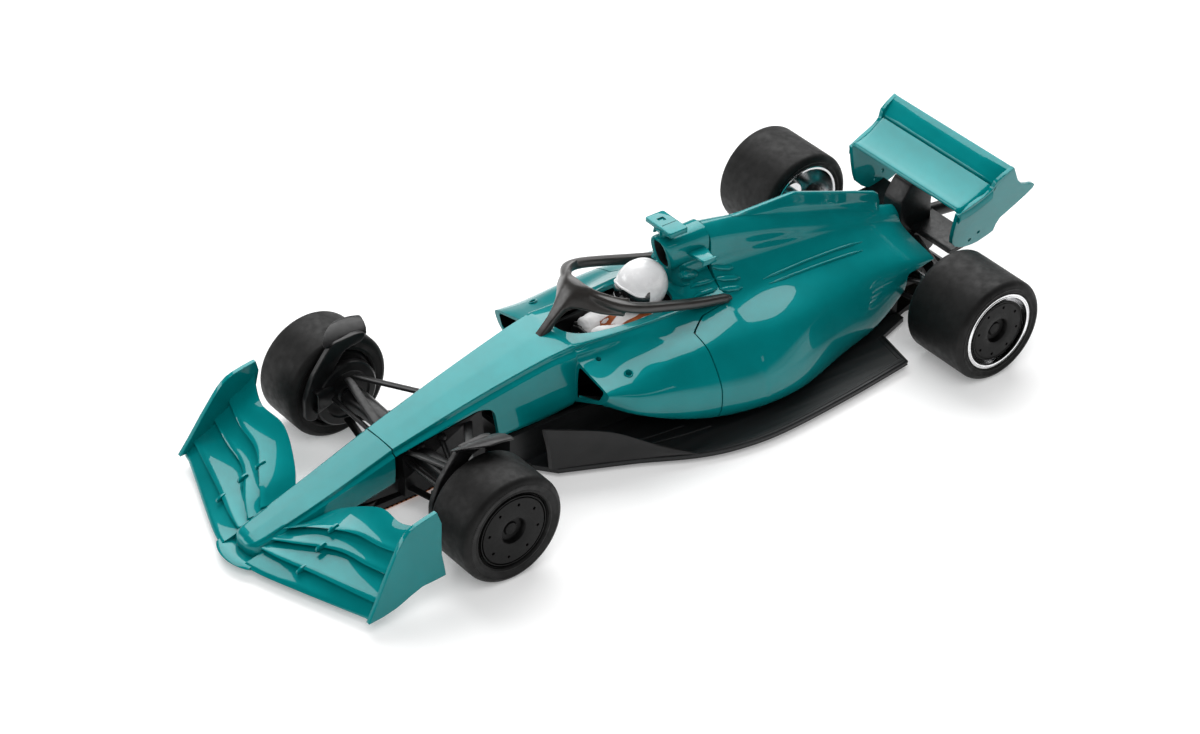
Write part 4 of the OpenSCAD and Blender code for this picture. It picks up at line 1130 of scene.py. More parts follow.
def make_airbox():
    """Raked oval intake, its neck and skirt, and the winglets and bosses beside it."""
    shape = [(-12.4, 1.3, 2.6, 0.1), (-8.4, 1.55, 2.75, 0.3), (-7.75, 1.7, 2.9, 0.31),
             (-7.5, 1.95, 3.1, 0.31), (-7.5, 2.4, 3.35, 0.31), (-7.75, 2.7, 3.52, 0.31),
             (-8.3, 2.85, 3.6, 0.3), (-10.5, 2.95, 3.6, 0.2), (-13.5, 3.05, 3.6, 0.08),
             (-16.55, 3.15, 3.65, 0.0)]
    n = 64
    rings = []
    for x, a, b, rake in shape:
        rings.append([place((x + rake * (b * s), a * c, DUCT_Z + b * s)) for c, s in oval(n, 0.74)])
    verts = [p for r in rings for p in r]
    faces = grid_faces(len(rings), n, wrap=True)
    # the throat's first rings and its end cap take the near-black slot: painted shade for the depth of the
    # intake
    marks = [1 if k // n < 2 else 0 for k in range(len(faces))]
    last = (len(rings) - 1) * n
    faces += [tuple(range(n - 1, -1, -1)), tuple(last + i for i in range(n))]
    marks += [1, 0]
    duct = finish_mesh("intake_duct", verts, faces, ["body_paint", "dark_lining_and_shade"], face_slots=marks,
                       sharp=50)
    neck = []
    for x in between(-9.8, -16.55, 0.6):
        k = math.sqrt(max(0.0, 1 - max(0, (x + 11.2) / 1.45) ** 2))
        half = [Vector((y * (0.2 + 0.8 * k), z)) for y,
                z in ((0, 28), (2.5, 27.8), (2.7, 26.6), (2.9, 25.4), (3.6, 24.4), (4.2, 23.8), (3.9, 23))]
        half = [Vector((p.x, p.y)) for p in spline([(h.x, h.y, 0) for h in half], 4)]
        neck.append(full_ring(x, half))
    column = loft("intake_neck", neck, ["body_paint"])
    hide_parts("airbox")
    skirt = []
    for x in between(-8.8, -16.5, 0.5):
        half = [Vector((p.x, p.y)) for p in spline([(h.x, h.y, 0) for h in skirt_half(x)], 4)]
        skirt.append(full_ring(x, half))
    loft("intake_skirt", skirt, ["body_paint"])
    for side in (1, -1):
        blade_rings = []
        for y, x0, x1, z, t in ((2.4, -11.6, -16.0, 29.6, 0.34), (4.2, -11.6, -15.6, 29.75, 0.34),
                                (6.0, -11.7, -15.0, 29.8, 0.32), (7.1, -11.8, -14.7, 29.8, 0.3)):
            blade_rings.append([place((x, side * y, z + dz)) for x, dz in (
                (x0, 0), (x0 - 0.25, t), (x1 + 0.2, t), (x1, 0), (x1 + 0.2, -t), (x0 - 0.25, -t))])
        bevel(loft("intake_winglet", blade_rings, ["body_paint"]), 0.14, 2)
        lip = [(-11.6, 29.1), (-14.9, 29.1), (-14.9, 30.3), (-11.9, 30.3)]
        lip_rings = [[place((x, side * y, z)) for x, z in lip] for y in (6.9, 7.4)]
        bevel(loft("intake_winglet_end", lip_rings, ["body_paint"]), 0.16, 2)
        path = [place((-13.4, side * 3.0, 24.7)), place((-12.0, side * 3.6, 25.3)),
                place((-10.8, side * 3.9, 25.9)), place((-10.1, side * 4.0, 26.2))]
        sweep("intake_boss", spline(path, 4), 0.85, 0.85, ["body_paint"], sides=24)
        ring_tube("intake_boss_rim", Vector(path[-1]) + Vector((0.62, side * 0.12, 0.3)),
                  (0.8, side * 0.2, 0.5), 0.48, 0.15)
    return duct


def plate_up(name, outline, z0, z1, slots, edge=0.16):
    """Flat plate over an outline of [x, y] between two heights, edges rounded."""
    n = len(outline)
    verts = [(x, y, z0) for x, y in outline] + [(x, y, z1) for x, y in outline]
    faces = [tuple(range(n - 1, -1, -1)), tuple(range(n, 2 * n))]
    for i in range(n):
        j = (i + 1) % n
        faces.append((i, j, n + j, n + i))
    return bevel(finish_mesh(name, verts, faces, slots), edge, 3, angle=50)


def make_camera():
    top = box_mm("camera_pod")[1].z
    x0, x1 = -10.8 * KL, -6.4 * KL
    outline = rounded([(x0, -3.7), (x1, -3.7), (x1, 3.7), (x0, 3.7)], 0.55, 4)
    bar = plate_up("camera_bar", outline, top - 0.92, top, ["body_paint"], 0.22)
    pocket = prism("cut_pocket", [(-9.2, -1.9), (-7.7, -1.9), (-7.7, -0.7), (-9.2, -0.7)], top - 0.3,
                   top + 1)
    slit = prism("cut_pocket", [(-10.4, 0.55), (-7.0, 0.55), (-7.0, 0.7), (-10.4, 0.7)], top - 0.12, top + 1)
    cut(bar, pocket, slit)
    for side in (1, -1):
        cheek = rounded([(x0 + 0.1, side * 2.95), (x1 - 0.3, side * 2.95), (x1 - 0.3, side * 3.65),
                         (x0 + 0.1, side * 3.65)], 0.25, 3)
        plate_up("camera_cheek", cheek, top - 1.15, top - 0.7, ["body_paint"], 0.14)
    stem = rounded([(-10.6 * KL, -0.62), (-7.4 * KL, -0.62), (-7.0 * KL, 0), (-7.4 * KL, 0.62),
                    (-10.6 * KL, 0.62)], 0.3, 3)
    plate_up("camera_stem", stem, top - 3.4, top - 0.6, ["body_paint"], 0.1)
    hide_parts("camera_pod")


# ---- halo ----

HALO_PATH = [(12.2, 0, 30.2), (11.8, 2.5, 29.95), (10.3, 5.3, 29.25), (7.8, 7.8, 28.3), (4, 9.1, 27.1),
             (-2, 9.3, 25.3), (-9, 9.15, 23.2), (-16.4, 8.8, 21.3)]
HALO_W = [1.5, 1.7, 2.1, 2.25, 2.2, 2.2, 2.2, 1.9]


def fuse(name, parts, voxel, slot, smooth):
    """One smooth skin remeshed over several pieces, which it takes the place of."""
    bm = bmesh.new()
    for p in parts:
        bm.from_mesh(p.data)
    mesh = bpy.data.meshes.new(name)
    bm.to_mesh(mesh)
    bm.free()
    for p in parts:
        bpy.data.objects.remove(p)
    obj = add_object(name, mesh)
    m = obj.modifiers.new("remesh", "REMESH")
    m.mode = "VOXEL"
    m.voxel_size = voxel * MM
    m.use_smooth_shade = True
    s = obj.modifiers.new("smooth", "SMOOTH")
    s.iterations = smooth
    s.factor = 0.5
    bake(obj, 180)
    obj.data.materials.clear()
    obj.data.materials.append(MATERIALS[slot])
    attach(obj, "chassis")
    return obj


WEB_INNER = [(11.5, 0), (11.5, 0.4), (11.48, 0.8), (11.45, 1.2), (11.4, 1.7), (11.25, 2.4), (10.9, 3.3),
             (10.3, 4.3), (9.4, 5.3), (8.3, 6.3), (7.0, 7.1), (5.6, 7.7)]
WEB_OUTER = [(21.2, 0), (21.1, 0.5), (20.7, 0.8), (18.6, 0.9), (17.0, 0.98), (15.8, 1.25), (14.9, 1.8),
             (14.0, 2.7), (12.9, 4.0), (11.6, 5.6), (9.9, 7.2), (8.0, 8.6)]
WEB_DROP = [(0, 0), (1.0, 0.22), (1.8, 0.8), (2.6, 1.7), (3.4, 2.85), (4.3, 4.1), (5.7, 5.75), (7.6, 7.7),
            (10.0, 9.9)]


def web_point(x, y, inner_x, lift):
    """Point of the web, lift above its middle sheet, which drops away from the hoop's inner edge."""
    s = min(9.99, max(0.0, x - inner_x))
    i = max(k for k in range(len(WEB_DROP) - 1) if WEB_DROP[k][0] <= s)
    (a, low), (b, high) = WEB_DROP[i], WEB_DROP[i + 1]
    slope = (high - low) / (b - a)
    z = 30.75 - 0.036 * y * y - low - slope * (s - a)
    normal = Vector((slope, 0, 1)).normalized()
    return place((x, y, z)) + normal * lift


def halo_web():
    """Flat Y of the halo: one sheet from the hoop's inner edge to the strut's foot."""
    inner = spline([(x, y, 0) for x, y in WEB_INNER], 4)
    outer = spline([(x, y, 0) for x, y in WEB_OUTER], 4)
    inner = [Vector((p.x, -p.y, 0)) for p in inner[:0:-1]] + inner
    outer = [Vector((p.x, -p.y, 0)) for p in outer[:0:-1]] + outer
    steps = 24
    verts = []
    for lift in (0.72, -0.72):
        for a, b in zip(inner, outer):
            for k in range(steps + 1):
                t = k / steps
                verts.append(web_point(a.x + (b.x - a.x) * t, a.y + (b.y - a.y) * t, a.x, lift))
    return finish_mesh("halo_web", verts, sheet_faces(len(inner), steps + 1), ["satin_black"])


def make_halo():
    """Hoop, front strut and the broad web between them, fused to one skin."""
    half = spline([place(p) for p in HALO_PATH], 6)
    wide = [p[0] for p in spline([(w / 2, 0, 0) for w in HALO_W], 6)]
    path = mirror_y(half[::-1]) + half[1:]
    widths = wide[::-1] + wide[1:]
    parts = [sweep("halo_loop", path, widths, [0.55 + 0.32 * w for w in widths], ["satin_black"], sides=28,
                   power=0.7)]
    parts.append(halo_web())
    obj = fuse("halo_frame", parts, 0.16, "satin_black", smooth=16)
    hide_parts("halo")
    for side, word in SIDES:
        heel = [place((-15.0, side * 8.85, 21.75)), place((-17.3, side * 8.75, 21.15))]
        sweep("halo_heel_" + word, heel, [1.05, 0.8], [0.75, 0.5], ["satin_black"], sides=20)
    return obj


# ---- driver ----

HELM_Z0 = 20.1
HELM_Z1 = 29.6


def helm_point(t, angle, g=0.0):
    """Point of the helmet's skin: t from 0 at the neck to 1 at the crown, angle 0 at the front."""
    q = 2 * t - 0.9
    w = math.sqrt(max(0.0, 1 - q * q / 1.22))
    c, s = math.cos(angle), math.sin(angle)
    chin = 0.55 * math.exp(-((t - 0.17) / 0.11) ** 2) * max(0, c) ** 2
    x = (5.2 * w + g + chin) * math.copysign(abs(c) ** 0.95, c)
    y = (4.35 * w + g) * math.copysign(abs(s) ** 0.95, s)
    z = HELM_Z0 + (HELM_Z1 - HELM_Z0) * t + (g if t > 0.9 else 0)
    return Vector((-3.3 * KL + x, y, z * KH))


VISOR_END = math.radians(76)


def make_helmet():
    rings = []
    n = 96
    ts = [0.0, 0.03] + [0.06 + 0.045 * k for k in range(19)] + [0.945, 0.965, 0.98, 0.992, 1.0]
    for t in ts:
        rings.append([helm_point(t, 2 * math.pi * k / n) for k in range(n)])
    shell_ = loft("helmet_shell", rings, ["helmet_white"], sharp=60)
    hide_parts("driver_helmet")
    verts = []
    high_steps = 8
    round_steps = 60
    for g in (-0.3, 0.1):
        for j in range(high_steps + 1):
            v = j / high_steps
            for i in range(round_steps + 1):
                a = -VISOR_END + 2 * VISOR_END * i / round_steps
                end = smooth_step(VISOR_END - 0.22, VISOR_END - 0.06, abs(a))
                low = 0.33 - 0.05 * smooth_step(0.5, VISOR_END, abs(a))
                top = 0.59 - 0.11 * smooth_step(0.2, 1.1, abs(a)) + 0.09 * end
                verts.append(helm_point(low + (top - low) * v, a, g))
    visor = finish_mesh("helmet_visor_band", verts, sheet_faces(high_steps + 1, round_steps + 1),
                        ["visor_black"])
    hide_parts("helmet_visor")
    bead = []
    for i in range(49):
        a = -1.1 + 2.2 * i / 48
        bead.append(helm_point(0.61 - 0.11 * smooth_step(0.2, 1.1, abs(a)), a, 0.02))
    sweep("helmet_rim", bead, 0.2, 0.24, ["helmet_white"], sides=14)
    band = [helm_point(0.315 - 0.04 * smooth_step(0.5, 1.2, abs(-1.2 + 2.4 * i / 48)), -1.2 + 2.4 * i / 48,
                       0.02) for i in range(49)]
    sweep("helmet_chin_rim", band, 0.14, 0.14, ["helmet_white"], sides=12)


def make_driver():
    torso = [(-4.6, 20.3, 1.9, 2.3), (-3.9, 19.6, 3.0, 3.7), (-2.6, 18.6, 3.9, 4.5), (-1.0, 17.3, 4.5, 4.6),
             (0.2, 15.7, 4.8, 4.5), (1.2, 13.6, 4.7, 4.2), (1.6, 11.4, 4.4, 4.0)]
    rings = []
    for cx, z, a, b in torso:
        rings.append([Vector((cx * KL + a * c, b * s, z * KH)) for c, s in oval(48, 0.85)])
    parts = [loft("suit_torso", rings, ["suit_white"])]
    for side in (1, -1):
        arm = spline([place((-2.6, 0, 17.6)) + Vector((0, side * 3.3, 0)),
                      place((-0.2, 0, 16.9)) + Vector((0, side * 3.75, 0)),
                      place((3.0, 0, 17.6)) + Vector((0, side * 3.35, 0)),
                      place((5.2, 0, 18.2)) + Vector((0, side * 2.7, 0)),
                      place((7.9, 0, 18.8)) + Vector((0, side * 2.0, 0))], 5)
        n = len(arm)
        parts.append(sweep("suit_arm", arm, [2.6 - 0.9 * i / n for i in range(n)],
                           [2.3 - 0.7 * i / n for i in range(n)], ["suit_white"], sides=20))
    leg = spline([place((2, 0, 14.6)), place((7, 0, 15.6)), place((13.2, 0, 15.8))], 5)
    parts.append(sweep("suit_lap", leg, [3.4 - 0.05 * i for i in range(len(leg))], 1.7, ["suit_white"],
                       sides=24))
    suit = fuse("driver_suit_skin", parts, 0.2, "suit_white", smooth=5)
    for v in suit.data.vertices:
        p = v.co / MM
        fold = noise.noise(Vector((p.x * 0.55 + 3, p.y * 0.5, p.z * 0.9))) * 0.22
        fold += abs(noise.noise(Vector((p.x * 1.3, p.y * 1.1 + 7, p.z * 1.6)))) * 0.14 - 0.06
        v.co += v.normal * fold * MM
    shade(suit, 180)
    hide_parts("driver_suit")
    collar = [place((-4.35, 0, 20.05)) + Vector((2.35 * math.cos(a), 2.75 * math.sin(a), 0))
              for a in [math.pi * (-0.62 + 1.24 * i / 24) for i in range(25)]]
    sweep("suit_collar", collar, 0.42, 0.5, ["suit_white"], sides=16)
    make_belts(suit)
    for side in (1, -1):
        blobs = []
        for dx, dy, dz, r in ((0, 0, 0, 0.85), (0.75, 0.15, 0.35, 0.62), (0.9, -0.35, 0.55, 0.5),
                              (1.0, -0.65, 0.1, 0.45)):
            c = Vector((8.3 * KL + dx, side * (2.05 + dy), 18.3 * KH + dz))
            blobs.append(sweep("glove_part",
                               [c - Vector((0.5, 0, 0.1)), c + Vector((0.4, -side * 0.1, 0.1))], r,
                               r * 0.9, ["dark_plastic"], sides=16))
        glove = fuse("driver_glove_" + ("left" if side > 0 else "right"), blobs, 0.14, "dark_plastic",
                     smooth=4)
    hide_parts("driver_gloves")


def make_belts(suit):
    """Two shoulder straps that run in toward the middle, laid on the suit."""
    graph = bpy.context.evaluated_depsgraph_get()
    graph.update()

    def on_suit(x, y):
        hit, spot, _, _ = suit.ray_cast(Vector((x * MM, y * MM, 34 * MM)), Vector((0, 0, -1)))
        return spot / MM if hit else None

    for side, word in SIDES:
        rings = []
        for i in range(40):
            t = i / 39
            x = (-3.4 + 8.6 * t) * KL
            y = side * (3.3 - 2.7 * t ** 0.85)
            across = Vector((0.3 * side, 1, 0)).normalized() * 0.42
            near = on_suit(x + across.x, y + across.y)
            far = on_suit(x - across.x, y - across.y)
            middle = on_suit(x, y)
            if near is None or far is None or middle is None:
                continue
            up = Vector((0.35, 0, 0.94))
            rings.append([near - up * 0.2, near + up * 0.16, middle + up * 0.26, far + up * 0.16,
                          far - up * 0.2])
        strap = loft("belt_strap_" + word, rings, ["belt_tan"], sharp=40)
        for v in strap.data.vertices:
            v.co.z = min(v.co.z, 21.6 * KH * MM)
    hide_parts("seat_belts")


def make_steering():
    """Open-topped wheel with two grips, a display hump and a short column."""
    centre = Vector((10.6 * KL, 0, 18.95 * KH))
    tilt = Matrix.Rotation(math.radians(-25), 3, "Y")
    face = rounded([(-2.3, 0.75), (-2.45, 0.2), (-2.2, -0.75), (-1.2, -1.05), (1.2, -1.05), (2.2, -0.75),
                    (2.45, 0.2), (2.3, 0.75), (1.6, 0.7), (1.1, 1.0), (-1.1, 1.0), (-1.6, 0.7)], 0.3, 3)
    verts = []
    for dx in (-0.4, 0.4):
        verts += [centre + tilt @ Vector((dx, y, z)) for y, z in face]
    plate_mesh = finish_mesh("steering_wheel_plate", verts, slab_faces(len(face)), ["dark_plastic"])
    wheel = bevel(plate_mesh, 0.18, 3, 50)
    for side in (1, -1):
        grip = spline([centre + tilt @ Vector((-0.25, side * 2.35, 0.95)),
                       centre + tilt @ Vector((-0.35, side * 2.5, 0.1)),
                       centre + tilt @ Vector((-0.25, side * 2.2, -0.85))], 5)
        sweep("steering_grip", grip, 0.42, 0.42, ["dark_plastic"], sides=16)
    for y, z in ((-1.3, 0.3), (-0.7, -0.4), (0.7, -0.4), (1.3, 0.3), (0, -0.6)):
        knob = centre + tilt @ Vector((-0.4, y, z))
        sweep("steering_knob", [knob, knob + tilt @ Vector((-0.3, 0, 0))], 0.16, 0.16, ["dark_plastic"],
              sides=12)
    sweep("steering_column", [centre, centre + Vector((3.0, 0, -1.2))], 0.5, 0.5, ["dark_plastic"], sides=20)
    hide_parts("steering_wheel")


# ---- floor ----

# edge of the floor along its side, and the corner behind the rear wheel's front
FLOOR_LINE = [(25, 12.8), (17, 16.3), (10.9, 19), (1.4, 23.8), (-6.8, 26.2), (-17.1, 27), (-34.3, 25.7),
              (-50.6, 23.7)]
FLOOR_END = (-52.6, 14.6)


def floor_xy(p):
    return (p[0] * KL, p[1] * FLOOR_K)


def make_floor():
    """Rolled lip along the floor's edge and the fences at its front."""
    for side, word in SIDES:
        line = spline([(*floor_xy(p), 0) for p in FLOOR_LINE], 5)
        x0, y0 = floor_xy(FLOOR_LINE[-1])
        x1, y1 = floor_xy(FLOOR_END)
        line += [Vector((x0 + (x1 - x0) * t, y0 + (y1 - y0) * t, 0)) for t in (0.15, 0.4, 0.7, 0.97)]
        rings = []
        for i, p in enumerate(line):
            a, b = line[max(0, i - 1)], line[min(len(line) - 1, i + 1)]
            along = (b - a).normalized()
            out = Vector((-along.y, along.x, 0))
            if out.y < 0 and out.x > -0.9:
                out = -out
            section = [(-1.5, 1.0), (-1.42, 1.07), (-0.75, 1.07), (-0.68, 1.0), (-0.6, 1.0), (-0.5, 1.14),
                       (-0.12, 1.12), (0.1, 0.95), (0.14, 0.7), (0.04, 0.5), (0.04, 0.22), (0.12, 0.1),
                       (0.02, 0.0), (-0.4, 0.0), (-0.6, 0.5)]
            rings.append([(p.x + out.x * u, side * (p.y + out.y * u), FLOOR_Z + h) for u, h in section])
        loft("floor_lip_" + word, rings, ["floor_black"], sharp=30)
        make_fence(side, word)
    make_floor_detail()


def make_fence(side, word):
    low = spline([(*floor_xy(p), FLOOR_Z + 0.95)
                  for p in ((26.2, 12.2), (25, 12.8), (18, 15.8), (10.9, 19), (1.4, 23.8))], 6)
    low = low[3:]
    top = spline([(28.3 * KL, 12.8 * FLOOR_K, 12 * KH), (16.6 * KL, 17 * FLOOR_K, 9.2 * KH),
                  (9 * KL, 20.6 * FLOOR_K, 5.6 * KH), (1.6 * KL, 24 * FLOOR_K, 2.5 * KH)], 7)
    low = resample(low, 28)
    top = resample(top, 28)
    rings = []
    for a, b in zip(low, top):
        tall = b - a
        inward = Vector((0.35, -0.94, 0))
        outer, inner = [], []
        for k in range(9):
            v = k / 8
            bow = 0.35 * math.sin(math.pi * v)
            edge = 0.3 * max(0, (v - 0.88) / 0.12)
            p = a + tall * v - inward * bow
            outer.append(p + inward * edge * 0.6)
            inner.append(p + inward * (0.85 - edge * 0.5))
        outer.append(b + Vector((0, 0, 0.12)) + inward * 0.4)
        ring = outer + inner[::-1]
        rings.append([(p.x, side * p.y, p.z) for p in ring])
    fence = loft("floor_fence_" + word, rings, ["dark_plastic"], sharp=40)
    if side < 0:
        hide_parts("floor_fences")


def make_floor_detail():
    """Low strakes on the floor, clear of the wheels."""
    for side, word in SIDES:
        for k, (x0, x1, y) in enumerate(((12, -2, 13.5), (6, -6, 16.5))):
            path = spline([(x0 * KL, side * y, 0), ((x0 + x1) / 2 * KL, side * (y + 1.2), 0),
                           (x1 * KL, side * (y + 2.0), 0)], 6)
            for p in path:
                p.z = FLOOR_Z + 1.0
            sweep("floor_strake_%d_%s" % (k + 1, word), path, 0.22, 0.3, ["floor_black"], sides=12)


# ---- suspension ----

def blade(name, a, b, chord, thick):
    """Arm of aerofoil section from a to b, its chord along X."""
    a = Vector(a)
    b = Vector(b)
    steps = 8
    rings = []
    for i in range(steps + 1):
        p = a.lerp(b, i / steps)
        rings.append([p + Vector((chord * c, 0, thick * s * (0.62 + 0.38 * c))) for c, s in oval(20)])
    return loft(name, rings, ["dark_plastic"], sharp=60)


def make_front_suspension():
    z = FRONT_R
    yo = FRONT_IN - 3.35
    for side, word in SIDES:
        def at(x, y, h):
            return (x, side * y, h)

        tag = "_" + word
        blade("front_arm_upper_rear" + tag, at(39.5 * KL, 4.6 * KW, 14.2 * KH),
              at(FRONT_X - 0.8, yo, z + 4.2), 1.0, 0.42)
        main = blade("front_arm_upper_front" + tag, at(52.4 * KL, 3 * KW, 12.2 * KH),
                     at(FRONT_X + 0.6, yo, z + 4.2), 0.95, 0.42)
        blade("front_arm_lower_front" + tag, at(52.6 * KL, 4.6 * KW, 5.2 * KH),
              at(FRONT_X + 0.6, yo, z - 4.6), 0.85, 0.42)
        blade("front_arm_lower_rear" + tag, at(39 * KL, 5 * KW, 5.2 * KH), at(FRONT_X - 0.8, yo, z - 4.6),
              0.85, 0.42)
        blade("front_push_rod" + tag, at(45.4 * KL, 4.4 * KW, 13.2 * KH), at(FRONT_X - 0.4, yo, z - 3.6),
              0.55, 0.5)
        blade("front_track_rod" + tag, at(52.6 * KL, 3.6 * KW, 10.4 * KH), at(FRONT_X + 3.6, yo, z + 1),
              0.55, 0.45)
        fairing = []
        for y, rx, rz, dz in ((4.0 * KW, 1.7, 1.25, 0.0), (5.6 * KW, 1.95, 1.5, 0.2), (8, 2.05, 1.65, 0.5),
                              (12, 2.1, 1.8, 0.55), (15, 2.3, 2.0, 0.3), (yo - 0.9, 2.5, 2.15, 0.0),
                              (yo - 0.3, 2.45, 2.1, 0.0)):
            fairing.append([at(FRONT_X + rx * c, y, z + dz + rz * s) for c, s in oval(28, 0.85)])
        bevel(loft("front_axle_fairing" + tag, fairing, ["dark_plastic"], sharp=60), 0.25, 2, 60)
        for x, y, h in ((45.4 * KL, 5.0 * KW, 13.2 * KH), (49.8 * KL, 4.4 * KW, 12.7 * KH)):
            sweep("front_arm_root" + tag, [at(x, y - 1.6, h), at(x, y, h - 0.1)], 0.9, 0.7,
                  ["dark_plastic"], sides=20)
        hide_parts("front_arms_" + word)
        make_upright(side, word)


def make_upright(side, word):
    z = FRONT_R
    y0 = FRONT_IN - 2.5
    tag = "_" + word
    drum = lathe("front_drum" + tag,
                 [(0, 0), (1.6, 0), (1.9, 0.28), (4.6, 0.28), (4.9, 0.0), (6.2, 0.05), (6.55, 0.35),
                  (6.6, 0.8),
                                      (6.6, 1.55), (6.35, 1.88), (3.2, 1.9), (0, 1.9)],
                 FRONT_X, y0, z, side, ["dark_plastic"], "chassis")
    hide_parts("front_upright_" + word)
    outline = rounded([(9.0, 2.0), (7.4, 6.2), (4.9, 9.6), (3.0, 11.9), (-2.6, 12.2), (-4.4, 11.6),
                       (-3.6, 10.2), (0.4, 9.6), (2.6, 6.6), (4.2, 3), (6.6, -3.4), (8.9, -2.6)], 0.9, 4)
    side_slab("upright_fairing" + tag, [(FRONT_X + x, z + h) for x, h in outline],
              side * (y0 + 0.3), side * (y0 + 1.5), 0.2)
    scoop = []
    for x, a, b, yy in ((3.2, 2.0, 1.3, 0.9), (4.8, 2.2, 1.5, 0.6), (6.6, 2.3, 1.75, 0.25),
                        (7.2, 2.3, 1.8, 0.15), (7.25, 1.9, 1.4, 0.15), (6.4, 1.75, 1.25, 0.2)):
        scoop.append([(FRONT_X + x, side * (y0 + yy - 0.2 + b * c * 0.75), z + 1.2 + a * s)
                      for c, s in oval(28, 0.6)])
    loft("brake_scoop" + tag, scoop, ["dark_plastic"], sharp=50)
    wing = []
    for y, xf, xr, h0, h1, t in ((0.6, 4.6, -4.6, 11.6, 11.4, 0.3), (1.6, 4.4, -5.2, 12.1, 11.9, 0.36),
                                 (2.8, 3.2, -5.6, 12.75, 12.3, 0.36),
                                (4.2, 1.2, -5.9, 13.1, 12.5, 0.32), (5.0, -0.6, -6.0, 13.05, 12.35, 0.22)):
        ring = []
        for j in range(18):
            u = j / 17
            x = xf + (xr - xf) * u
            ring.append((FRONT_X + x, side * (y0 + y), z + h0 + (h1 - h0) * u + 0.3 * math.sin(math.pi * u)))
        for j in range(17, -1, -1):
            u = j / 17
            x = xf + (xr - xf) * u
            k = min(1, 6 * u + 0.3, 6 * (1 - u) + 0.3)
            ring.append((FRONT_X + x, side * (y0 + y),
                         z + h0 + (h1 - h0) * u + 0.3 * math.sin(math.pi * u) - 2 * t * k))
        wing.append(ring)
    bevel(loft("wheel_winglet" + tag, wing, ["dark_plastic"], sharp=50), 0.1, 2, 55)
    ring_tube("front_hub_nut" + tag, (FRONT_X, side * (y0 - 0.05), z), (0, 1, 0), 0.9, 0.3, "steel")


def make_rear_suspension():
    z = REAR_R
    y1 = REAR_IN - 0.7
    x = REAR_X
    for side, word in SIDES:
        def at(dx, y, dz):
            return (x + dx, side * y, z + dz)

        tag = "_" + word
        main = blade("rear_arm_upper_front" + tag, at(4.2, 10.9, 0.8), at(1.6, y1 - 1.4, 2.4), 0.8, 0.4)
        blade("rear_arm_lower_front" + tag, at(4.2, 10.9, -2), at(1.6, y1 - 1.4, -3), 0.8, 0.4)
        blade("rear_arm_upper_rear" + tag, at(-7.8, 2.9, 1.8), at(-1.6, y1 - 1.4, 2.4), 0.8, 0.4)
        blade("rear_arm_lower_rear" + tag, at(-7.8, 2.9, -3), at(-1.6, y1 - 1.4, -4), 0.8, 0.4)
        blade("rear_toe_link" + tag, at(-8.6, 2.9, -0.6), at(-4.2, y1 - 1.4, -0.4), 0.6, 0.4)
        blade("rear_pull_rod" + tag, at(-4.4, 9, -3.4), at(0.4, y1 - 1.4, 3.4), 0.5, 0.4)
        rings = []
        for y, r in ((y1 - 1.9, 2.2), (y1 - 1.4, 2.6), (y1 - 0.3, 2.6), (y1, 2.3)):
            rings.append([at(r * c, y, r * 2.0 * s) for c, s in oval(32)])
        hub = loft("rear_upright" + tag, rings, ["dark_plastic"], sharp=50)
        cut(hub, rod("cut_hub", at(0, y1 - 4, 0), at(0, y1 + 4, 0), AXLE_R + 0.35, 48))
        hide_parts("rear_arms_" + word)


# ---- wheels ----

def side_slab(name, outline, y_in, y_out, edge):
    """Dark plate over an outline of [x, z] points between two y values, edges rounded."""
    verts = [(x, y, z) for y in (y_in, y_out) for x, z in outline]
    return bevel(finish_mesh(name, verts, slab_faces(len(outline)), ["dark_plastic"]), edge, 3, 50)


def lathe(name, profile, x, y_in, z, side, slots, body, segments=144, closed=False):
    """Turned piece about the axle. profile is [radius, distance outward from y_in]."""
    verts = [(x + r * c, side * (y_in + h), z + r * s) for c, s in oval(segments) for r, h in profile]
    faces = turned_faces(segments, len(profile), closed)
    return finish_mesh(name, verts, faces, slots, body, sharp=32)


def arc(cx, cy, r, a0, a1, n):
    return [(cx + r * math.cos(math.radians(a0 + (a1 - a0) * k / n)),
             cy + r * math.sin(math.radians(a0 + (a1 - a0) * k / n)))
            for k in range(n + 1)]


def tyre_profile(r, w, bead):
    """Slick tyre with rounded shoulders, a fine ring on the wall and a lip at the bead."""
    half = [(bead, w / 2), (bead, w - 0.9), (bead + 0.12, w - 0.45), (bead + 0.4, w - 0.2),
            (bead + 0.75, w - 0.3), (bead + 0.95, w - 0.22)]
    shoulder = 1.35
    mid = r - 1.25
    half += [(mid - 0.1, w - 0.06), (mid, w - 0.1), (mid + 0.1, w - 0.02)]
    half += arc(r - shoulder, w - shoulder - 0.05, shoulder, 84, 8, 8)
    half += [(r, w - 2.6)]
    other = [(a, w - b) for a, b in reversed(half[1:])]
    return half + [(r, w / 2)] + other


def make_tyres():
    for side, word in SIDES:
        t = lathe("front_slick_" + word, tyre_profile(FRONT_R, FRONT_W, 7.5), FRONT_X, FRONT_IN, FRONT_R,
                  side, ["tyre_rubber"], "front_wheel_" + word, closed=True)
        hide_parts("front_tyre_" + word)
        t = lathe("rear_slick_" + word, tyre_profile(REAR_R, REAR_W, 7.95), REAR_X, REAR_IN, REAR_R, side,
                  ["tyre_rubber"], "rear_wheels", closed=True)
        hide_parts("rear_tyre_" + word)


def wheel_holes(x, y, z, side, radius, r):
    out = []
    for k in range(8):
        a = math.radians(45 * k + 10)
        p = Vector((x + radius * math.cos(a), side * y, z + radius * math.sin(a)))
        out.append(rod("cut_hole", p - Vector((0, 0.9, 0)), p + Vector((0, 0.9, 0)), r, 20))
    return out


